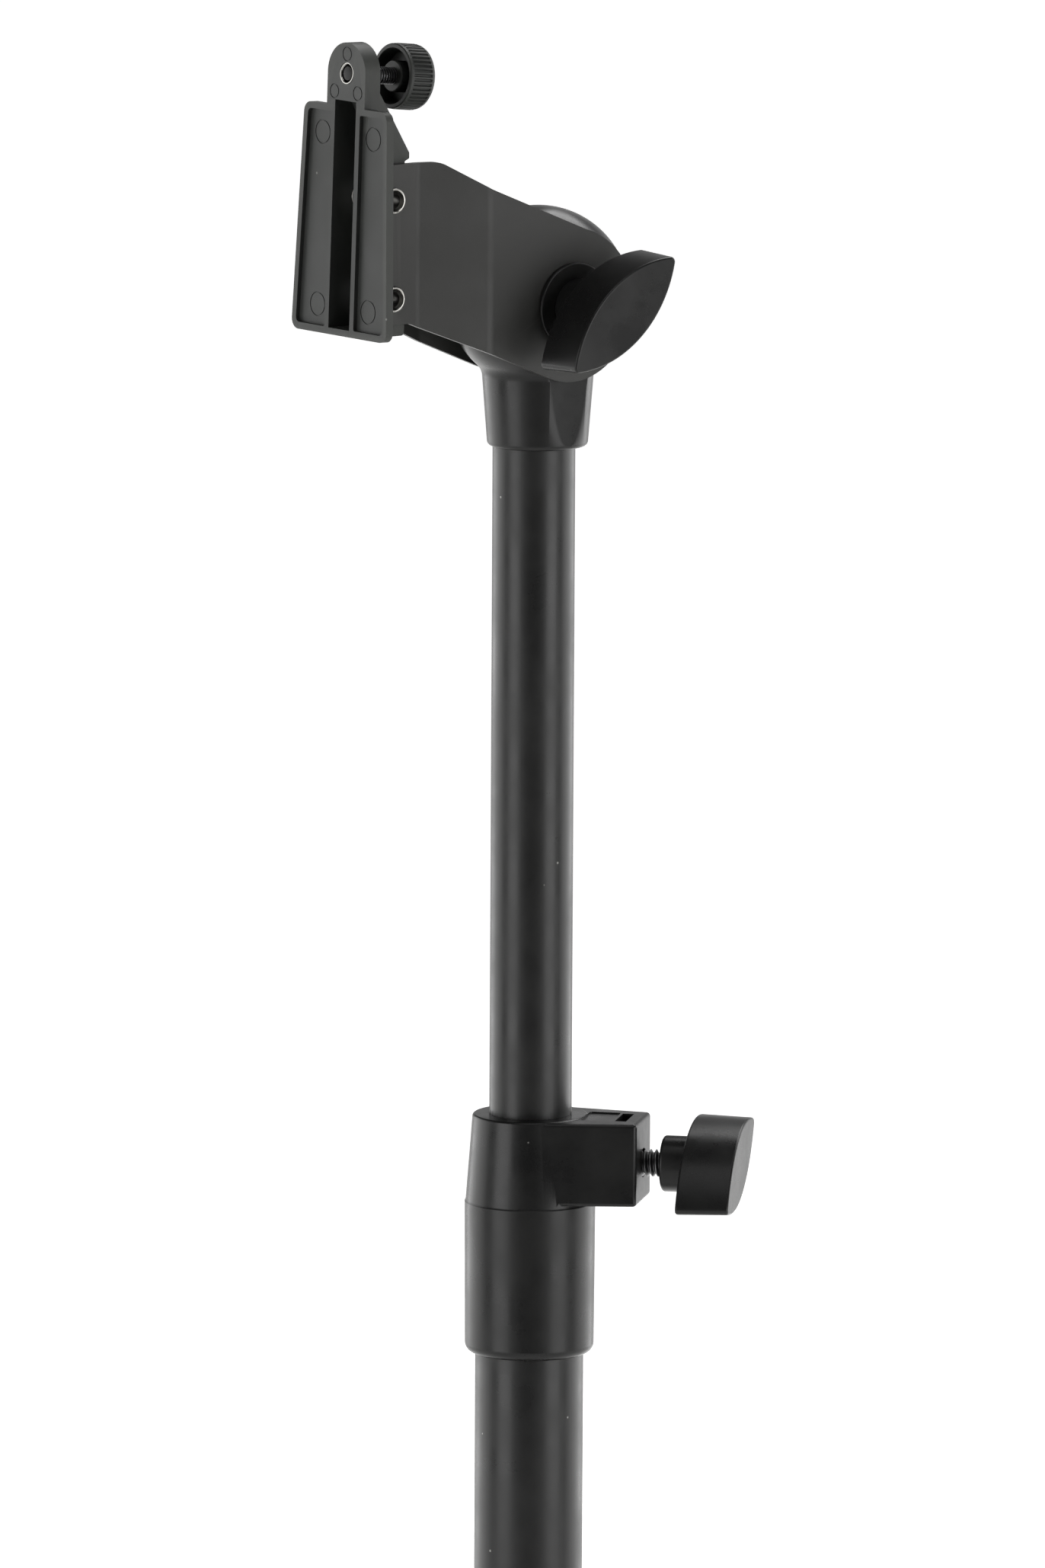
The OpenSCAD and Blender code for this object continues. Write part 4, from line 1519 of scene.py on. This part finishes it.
@dataclass
class ThumbScrew:
    """The knurled thumb screw behind the tab.

    Args:
        radius: Radius of the screw.
        pitch: Pitch of the screw.
        knob_radius: Radius over the flutes' crests.
        knob_length: Length of the knob.
        flutes: Number of flutes round the knob.
        flute_depth: Depth of a flute.
        gap: Distance from the tab's front face to the knob.
    """

    radius: float = 2.0
    pitch: float = 0.7
    knob_radius: float = 7.55
    knob_length: float = 7.4
    flutes: int = 44
    flute_depth: float = 0.45
    gap: float = 12.9

    def build(self) -> None:
        """Makes the screw, its tip and its knob."""
        place = AT_PIVOT @ DeskPlate().along_thumb()
        start = 1.3
        screw = threaded("thumb_screw_thread", self.radius, self.pitch, self.gap + 4 - start)
        move(screw, place @ shift(z=start))
        finish_piece(screw, "thumb_knob", BLACK_OXIDE, ["thumb_screw"], 40)
        profile = [(0, 0.12), (1.2, 0.12), (1.58, 0.3), (1.58, 1.25), (0, 1.25)]
        tip = lathe("thumb_tip_pad", profile, steps=32)
        move(tip, place)
        finish_piece(tip, "thumb_tip", RUBBER, ["thumb_tip"])
        knob = move(self._knob(), place @ shift(z=self.gap))
        finish_piece(knob, "thumb_knob", NYLON, ["thumb_knob"])

    def _knob(self) -> Piece:
        """The fluted cup with a hub inside."""
        r, n = self.knob_radius, self.knob_length
        sides = 6
        steps = self.flutes * sides
        ring = 0.9
        profile = [
            (self.radius, 0.1),
            (3.4, 0.1),
            (3.6, 0.4),
            (3.6, 3.4),
            (5.9, 3.4),
            (6.3, 0.3),
            (6.5, 0),
            (r - 0.35, 0),
            (r - 0.1, 0.2),
            (r - 0.1, ring),
            (r, ring + 0.25),
            (r, n - 1.5),
            *arc((r - 1.4, n - 1.3), 1.3, 0, 90, 5),
            (0, n),
            (0, n - 2),
            (self.radius, n - 2),
        ]
        knob = lathe("thumb_knob_fluted", profile, closed=True, steps=steps)
        turn_step = math.tau / steps

        def in_flute(co: Vector) -> bool:
            """Whether a vertex lies in a flute."""
            index = round(math.atan2(co.y, co.x) / turn_step) % sides
            return index < sides // 2 and math.hypot(co.x, co.y) > r - 0.06 and ring < co.z < n - 1

        pick_vertices(knob, in_flute)
        shrink = 1 - self.flute_depth / r
        scale_picked((shrink, shrink, 1), (0, 0, 0))
        return knob


@dataclass
class Tripod:
    """The hub and the three folding legs.

    Args:
        pivot_radius: Distance of the hinges from the post's axis.
        pivot_height: Height of the hinges above the floor.
        foot_radius: Distance of the feet from the post's axis.
        foot_axis: Height of the leg's axis at its foot.
        leg_radius: Radius of a leg's tube.
        ear: Thickness of the hub's ears.
        tang: Thickness of a leg's tang.
        shoulder: Distance from the hinge to the leg's tube.
        foot_wall: Wall of the rubber foot.
        pad_radius: Radius of the foot's flat pad.
        pad_height: Height of the pad.
        sides: Names of the legs, in their order round the hub.
    """

    pivot_radius: float = 34.0
    pivot_height: float = 75.0
    foot_radius: float = 250.0
    foot_axis: float = 11.0
    leg_radius: float = 8.0
    ear: float = 5.0
    tang: float = 9.6
    shoulder: float = 22.0
    foot_wall: float = 2.4
    pad_radius: float = 12.5
    pad_height: float = 14.0
    sides: tuple[str, ...] = ("front", "right", "left")

    def __post_init__(self) -> None:
        """Works out the legs' slope and reach."""
        run = self.foot_radius - self.pivot_radius
        rise = self.pivot_height - self.foot_axis
        self.slope = math.degrees(math.atan2(rise, run))
        self.reach = math.hypot(run, rise)
        self.slot = self.tang + 0.4
        self.side = self.slot / 2 + self.ear
        self.hub_bottom = low("base_hub").z
        self.hub_top = high("base_hub").z
        self.tube = high("lower_tube").x

    def leg_place(self, index: int) -> Matrix:
        """Origin at the leg's hinge and +X along the leg."""
        about = turn("Z", -90 + 120 * index)
        return about @ shift(x=self.pivot_radius, z=self.pivot_height) @ turn("Y", self.slope)

    def build(self) -> None:
        """Makes the hub, the legs and their fasteners."""
        self._hub()
        self._hub_bolt()
        for index, side in enumerate(self.sides):
            self._leg(index, side)
        self._bolts()
        dress_node("lower_tube_plug", BLACK_OXIDE)

    def _hub_arm(self, index: int) -> Piece:
        """One pair of ears with the roof that stops the leg."""
        r, h = self.pivot_radius, self.pivot_height
        ear_r = self.leg_radius + 3
        s, c = math.sin(math.radians(self.slope)), math.cos(math.radians(self.slope))
        along = Vector((c, -s))
        up = Vector((s, c))
        pivot = Vector((r, h))
        roof_low = pivot + up * (self.leg_radius + 0.2)
        roof_top = roof_low + up * 4
        tip_low = tuple(roof_low + along * (ear_r + 4))
        tip_top = tuple(roof_top + along * (ear_r + 4))
        outline = [
            (self.tube + 1, self.hub_bottom),
            (r, self.hub_bottom),
            *arc((r, h), ear_r, -78, 36, 12),
            tip_low,
            tip_top,
            tuple(roof_top),
            (self.tube + 1, h + ear_r + 9),
        ]
        arm = prism("hub_arm", outline, 2 * self.side)
        round_edges(arm, 0.9, 3, 50)
        return move(arm, turn("Z", -90 + 120 * index) @ shift(y=self.side) @ turn("X", 90))

    def _hub_cuts(self, index: int) -> list[Piece]:
        """Cutters of one leg's slot and of its bolt hole."""
        gap = self.leg_radius + 0.4
        outline = [
            *arc((0, 0), gap, 180, 90, 6),
            (60, gap - 0.2),
            (60, -70),
            (-gap * 0.2, -70),
            (-gap, -20),
        ]
        slot = prism("leg_slot", outline, self.slot)
        move(slot, self.leg_place(index) @ shift(y=self.slot / 2) @ turn("X", 90))
        hole = rod("bolt_hole", 3.02, 60, 32)
        move(hole, self.leg_place(index) @ shift(y=30) @ turn("X", 90))
        return [slot, hole]

    def _hub(self) -> None:
        """Makes the cast hub."""
        radius = 17.5
        top, bottom = self.hub_top, self.hub_bottom
        boss = lathe(
            "hub_casting",
            [
                (0, bottom),
                *arc((radius - 1.5, bottom + 1.5), 1.5, -90, 0, 4),
                (radius, top - 4),
                *arc((self.tube + 1.4, top - 1.2), 1.2, 20, 90, 4),
                (0, top),
            ],
        )
        fuse(boss, *[self._hub_arm(i) for i in range(len(self.sides))])
        socket = move(rod("socket", self.tube + 0.02, 60), shift(z=bottom + 6))
        hole = move(rod("hole", 4.3, 20), shift(z=bottom - 5))
        cut(boss, socket, hole)
        for i in range(len(self.sides)):
            cut(boss, *self._hub_cuts(i))
        round_edges(boss, 0.35, 2, 50)
        finish_piece(boss, "base", CAST_ENAMEL, ["base_hub"], 35)

    def _hub_bolt(self) -> None:
        """Makes the bolt and washer under the hub."""
        top = low("base_washer").z
        under = top + 1.55
        profile = [(4.2, top), (9.8, top), (10, top + 0.2), (10, under), (4.2, under)]
        washer = lathe("base_washer_disc", profile, closed=True)
        finish_piece(washer, "base", ZINC_PLATE, ["base_washer"])
        head = prism("base_bolt_hex", arc((0, 0), 7.5, 0, 300, 5), 5)
        dome = lathe("dome", [(0, 0), (6.2, 0), (8, 1.0), (8, 8), (0, 8)])
        combine(head, dome, "INTERSECT")
        round_edges(head, 0.2, 2, 30)
        move(head, shift(z=low("base_bolt").z))
        shank = move(rod("shank", 4.0, 24), shift(z=top - 0.5))
        bolt = gather("base_bolt_hex", [head, shank])
        finish_piece(bolt, "base", ZINC_PLATE, ["base_bolt"])

    def _leg(self, index: int, side: str) -> None:
        """Makes one leg.

        Args:
            index: Number of the leg.
            side: Its name.
        """
        body = "leg_" + side
        place = self.leg_place(index)
        length = self.reach - self.shoulder + 4
        r = self.leg_radius
        profile = [(r - 1.2, 0), (r - 0.3, 0), (r, 0.3), (r, length), (r - 1.2, length)]
        tube = lathe(body + "_drawn_tube", profile, closed=True, steps=80)
        move(tube, place @ shift(x=self.shoulder) @ turn("Y", 90))
        finish_piece(tube, body, TUBE_ENAMEL, [body + "_tube"])
        self._tang(body, place)
        self._foot(body, place, index)

    def _tang(self, body: str, place: Matrix) -> None:
        """Makes the flat tang and the rivet that holds it.

        Args:
            body: The leg's body.
            place: The leg's place.
        """
        r = self.leg_radius
        end = self.shoulder - 0.1
        outline = [*arc((0, 0), r, 90, 270, 20), (end, -r), (end, r)]
        tang = prism(body + "_cast_tang", outline, self.tang)
        move(tang, shift(y=self.tang / 2) @ turn("X", 90))
        round_edges(tang, 0.6, 3, 50)
        spigot = move(rod("spigot", r - 1.25, 28), shift(x=self.shoulder - 1) @ turn("Y", 90))
        fuse(tang, spigot)
        cut(tang, move(rod("hole", 3.05, 30, 32), shift(y=15) @ turn("X", 90)))
        move(tang, place)
        finish_piece(tang, body, CAST_ENAMEL, [body + "_tang"])
        half = r + 0.8
        head = [(0, -half), *arc((1.9, 0.9 - half), 1.2, -90, 0, 4)]
        profile = [*head, (2.9, 0.7 - half), (1.9, 0.8 - half)]
        mirror = [(x, -z) for x, z in reversed(profile)]
        rivet = lathe(body + "_cross_rivet", [*profile, *mirror], steps=40)
        move(rivet, place @ shift(x=self.shoulder + 15) @ turn("X", 90))
        finish_piece(rivet, body, ZINC_PLATE, [body + "_rivet"])

    def _foot(self, body: str, place: Matrix, index: int) -> None:
        """Makes the rubber boot with its flat pad.

        Args:
            body: The leg's body.
            place: The leg's place.
            index: Number of the leg.
        """
        outer = self.leg_radius + self.foot_wall
        start = self.reach - 22
        boot = lathe(
            body + "_rubber_foot",
            [
                (0, 0),
                (outer - 0.9, 0),
                (outer, 0.8),
                (outer, 3.0),
                (outer - 0.5, 3.5),
                (outer - 0.5, 5.0),
                (outer, 5.5),
                *arc((outer - 3, 29), 3, 0, 90, 5),
                (0, 32),
            ],
            steps=80,
        )
        move(boot, place @ shift(x=start) @ turn("Y", 90))
        r, h = self.pad_radius, self.pad_height
        crown = 3.5
        pad = lathe(
            "pad",
            [
                (0, -4),
                (r - 0.4, -4),
                (r - 0.4, 0.4),
                (r, 0.8),
                (r, 3.0),
                *arc((r - crown, h - 4), crown, 0, 90, 6),
                (0, h - 0.5),
            ],
            steps=80,
        )
        move(pad, turn("Z", -90 + 120 * index) @ shift(x=self.foot_radius))
        fuse(boot, pad)
        reach = 400.0
        ground = [(-reach, -reach), (reach, -reach), (reach, reach), (-reach, reach)]
        cut(boot, move(prism("floor_cut", ground, 50), shift(z=-50)))
        hollow = rod("hollow", self.leg_radius + 0.02, self.reach - self.shoulder + 4)
        cut(boot, move(hollow, place @ shift(x=self.shoulder) @ turn("Y", 90)))
        round_edges(boot, 0.3, 2, 40)
        finish_piece(boot, body, RUBBER, [body + "_foot"], 40)

    def _bolts(self) -> None:
        """Makes the hinge bolts with their nuts."""
        bolts, nuts = [], []
        for index in range(len(self.sides)):
            place = self.leg_place(index)
            bolt = lathe(
                "leg_bolt",
                [
                    (0, -self.side - 4),
                    (3.2, -self.side - 4),
                    *arc((3.6, -self.side - 2.6), 1.4, -60, 0, 3),
                    (5.1, -self.side - 0.02),
                    (3, -self.side - 0.02),
                    (3, self.side + 5.6),
                    (2.6, self.side + 6),
                    (0, self.side + 6),
                ],
                steps=48,
            )
            bolts.append(move(bolt, place @ turn("X", -90)))
            nut = prism("leg_nut", arc((0, 0), 5.4, 0, 300, 5), 4.4)
            crown = lathe("crown", [(0, -1), (5.4, -1), (5.4, 3.6), (4.4, 4.5), (0, 4.5)], steps=48)
            combine(nut, crown, "INTERSECT")
            cut(nut, move(rod("bore", 3.02, 9, 32), shift(z=-2)))
            nuts.append(move(nut, place @ turn("X", -90) @ shift(z=self.side + 0.05)))
        for name, made, node in (
            ("leg_hinge_bolts", bolts, "leg_bolts"),
            ("leg_hinge_nuts", nuts, "leg_nuts"),
        ):
            finish_piece(gather(name, made), "base", ZINC_PLATE, [node])


class Inner:
    """Pieces inside the tubes, which stay as the CAD made them."""

    LOOKS = {"guide_bush": NYLON, "bush_ring": ZINC_PLATE, "tube_end_plug": NYLON}

    def build(self) -> None:
        """Gives each hidden node its finish."""
        for node, look in self.LOOKS.items():
            dress_node(node, look)


@dataclass
class Studio:
    """Camera, floor and lights.

    Args:
        azimuth: The camera's place round the stand, in degrees.
        elevation: The camera's height above the level, in degrees.
        roll: Lean of the picture, in degrees.
        distance: From the camera to its target, in metres.
        lens: Focal length in millimetres, on a 36 mm sensor.
        target_z: Height of the target, in metres.
        aside: How far the target lies to the left of the post, in metres.
    """

    azimuth: float = 52.0
    elevation: float = 9.0
    roll: float = 0.3
    distance: float = 4.2
    lens: float = 420.0
    target_z: float = 0.737
    aside: float = 0.00222

    def build(self) -> None:
        """Makes the camera, the floor, the lights and the sky."""
        self._camera()
        self._floor()
        self._flag()
        self._lights()
        self._world()
        bpy.context.scene.view_settings.view_transform = "Standard"

    def _camera(self) -> None:
        """Makes the camera at the viewing angle."""
        a = math.radians(self.azimuth)
        back = self._toward(self.azimuth, self.elevation)
        right = Vector((math.cos(a), math.sin(a), 0))
        data = bpy.data.cameras.new("camera")
        data.lens = self.lens
        data.sensor_width = 36.0
        data.sensor_fit = "AUTO"
        data.clip_start, data.clip_end = 0.1, 100.0
        camera = bpy.data.objects.new("camera", data)
        bpy.context.scene.collection.objects.link(camera)
        target = Vector((0, 0, self.target_z)) - right * self.aside
        facing = (-back).to_track_quat("-Z", "Y").to_matrix().to_4x4()
        camera.matrix_world = (
            Matrix.Translation(target + back * self.distance) @ facing @ turn("Z", self.roll)
        )
        bpy.context.scene.camera = camera

    def _floor(self) -> None:
        """Makes the pale floor."""
        clear_selection()
        bpy.ops.mesh.primitive_circle_add(
            vertices=96, radius=30, fill_type="NGON", location=(0, 0, -0.0005)
        )
        floor = bpy.context.object
        floor.name = "floor"
        material = bpy.data.materials.new("pale_floor")
        material.use_nodes = True
        shader = material.node_tree.nodes["Principled BSDF"]
        shader.inputs["Base Color"].default_value = linear("#f4f4f2")
        shader.inputs["Roughness"].default_value = 0.9
        shader.inputs["Emission Color"].default_value = linear("#ffffff")
        shader.inputs["Emission Strength"].default_value = 0.88
        floor.data.materials.append(material)

    def _flag(self) -> None:
        """Stands a dark felt screen before the stand, which only reflections see."""
        clear_selection()
        bpy.ops.mesh.primitive_plane_add(size=1, location=(0, 0, 0))
        flag = bpy.context.object
        flag.name = "felt_screen"
        flag.scale = (1.5, 1.3, 1)
        a = math.radians(self.azimuth)
        flag.location = Vector((math.sin(a), -math.cos(a), 0)) * 2.0 + Vector((0, 0, 0.66))
        flag.rotation_euler = (math.radians(90), 0, a)
        flag.visible_camera = False
        flag.visible_shadow = False
        material = bpy.data.materials.new("dark_felt")
        material.use_nodes = True
        shader = material.node_tree.nodes["Principled BSDF"]
        shader.inputs["Base Color"].default_value = linear("#262626")
        shader.inputs["Roughness"].default_value = 1.0
        flag.data.materials.append(material)

    @staticmethod
    def _toward(azimuth: float, elevation: float) -> Vector:
        """Direction from the stand to a place round it, from two angles in degrees."""
        a, e = math.radians(azimuth), math.radians(elevation)
        return Vector((math.sin(a) * math.cos(e), -math.cos(a) * math.cos(e), math.sin(e)))

    def _area(
        self,
        name: str,
        azimuth: float,
        elevation: float,
        size: tuple[float, float],
        power: float,
    ) -> None:
        """Adds one soft box that faces the head of the stand.

        Args:
            name: Name of the light.
            azimuth: Its place round the stand, in degrees, as the camera's.
            elevation: Its height above the level, in degrees.
            size: Its width and height, in metres.
            power: Its power in watts.
        """
        back = self._toward(azimuth, elevation)
        data = bpy.data.lights.new(name, "AREA")
        data.shape = "RECTANGLE"
        data.size, data.size_y = size
        data.energy = power
        lamp = bpy.data.objects.new(name, data)
        bpy.context.scene.collection.objects.link(lamp)
        lamp.visible_camera = False
        lamp.location = Vector((0, 0, 0.7)) + back * 2.4
        lamp.rotation_euler = (-back).to_track_quat("-Z", "Y").to_euler()

    def _lights(self) -> None:
        """Makes the soft boxes."""
        self._area("left_box", self.azimuth - 53, 5, (1.3, 1.8), 56)
        self._area("right_box", self.azimuth + 53, 5, (1.3, 1.8), 56)
        self._area("left_rim", self.azimuth - 118, 5, (2.6, 1.8), 52)
        self._area("right_rim", self.azimuth + 118, 5, (2.6, 1.8), 52)
        self._area("top_box", self.azimuth + 10, 70, (1.6, 1.6), 20)
        self._area("back_box", self.azimuth + 150, 48, (1.8, 1.2), 45)

    def _world(self) -> None:
        """Makes the surroundings: a white cove below a darker ceiling."""
        world = bpy.data.worlds.new("white_studio")
        bpy.context.scene.world = world
        world.use_nodes = True
        tree = world.node_tree
        heading = add_node(tree, "ShaderNodeTexCoord").outputs["Generated"]
        height = add_node(tree, "ShaderNodeSeparateXYZ", {"Vector": heading}).outputs["Z"]
        fade = add_node(
            tree,
            "ShaderNodeMapRange",
            {"Value": height, "From Min": 0.05, "From Max": 0.4, "To Min": 1.0, "To Max": 0.1},
        )
        sky = tree.nodes["Background"]
        sky.inputs["Color"].default_value = linear("#ffffff")
        tree.links.new(fade.outputs["Result"], sky.inputs["Strength"])


def main() -> None:
    """Builds the stand's looks piece by piece around the frame."""
    logging.basicConfig(level=logging.INFO, format="%(message)s")
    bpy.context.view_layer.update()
    Studio().build()
    assemblies = (
        Tubes(),
        Collar(),
        Head(),
        Arms(),
        DeskPlate(),
        TiltScrew(),
        ThumbScrew(),
        Tripod(),
        Inner(),
    )
    for assembly in assemblies:
        assembly.build()
    clear_selection()


if __name__ == "__main__":
    main()
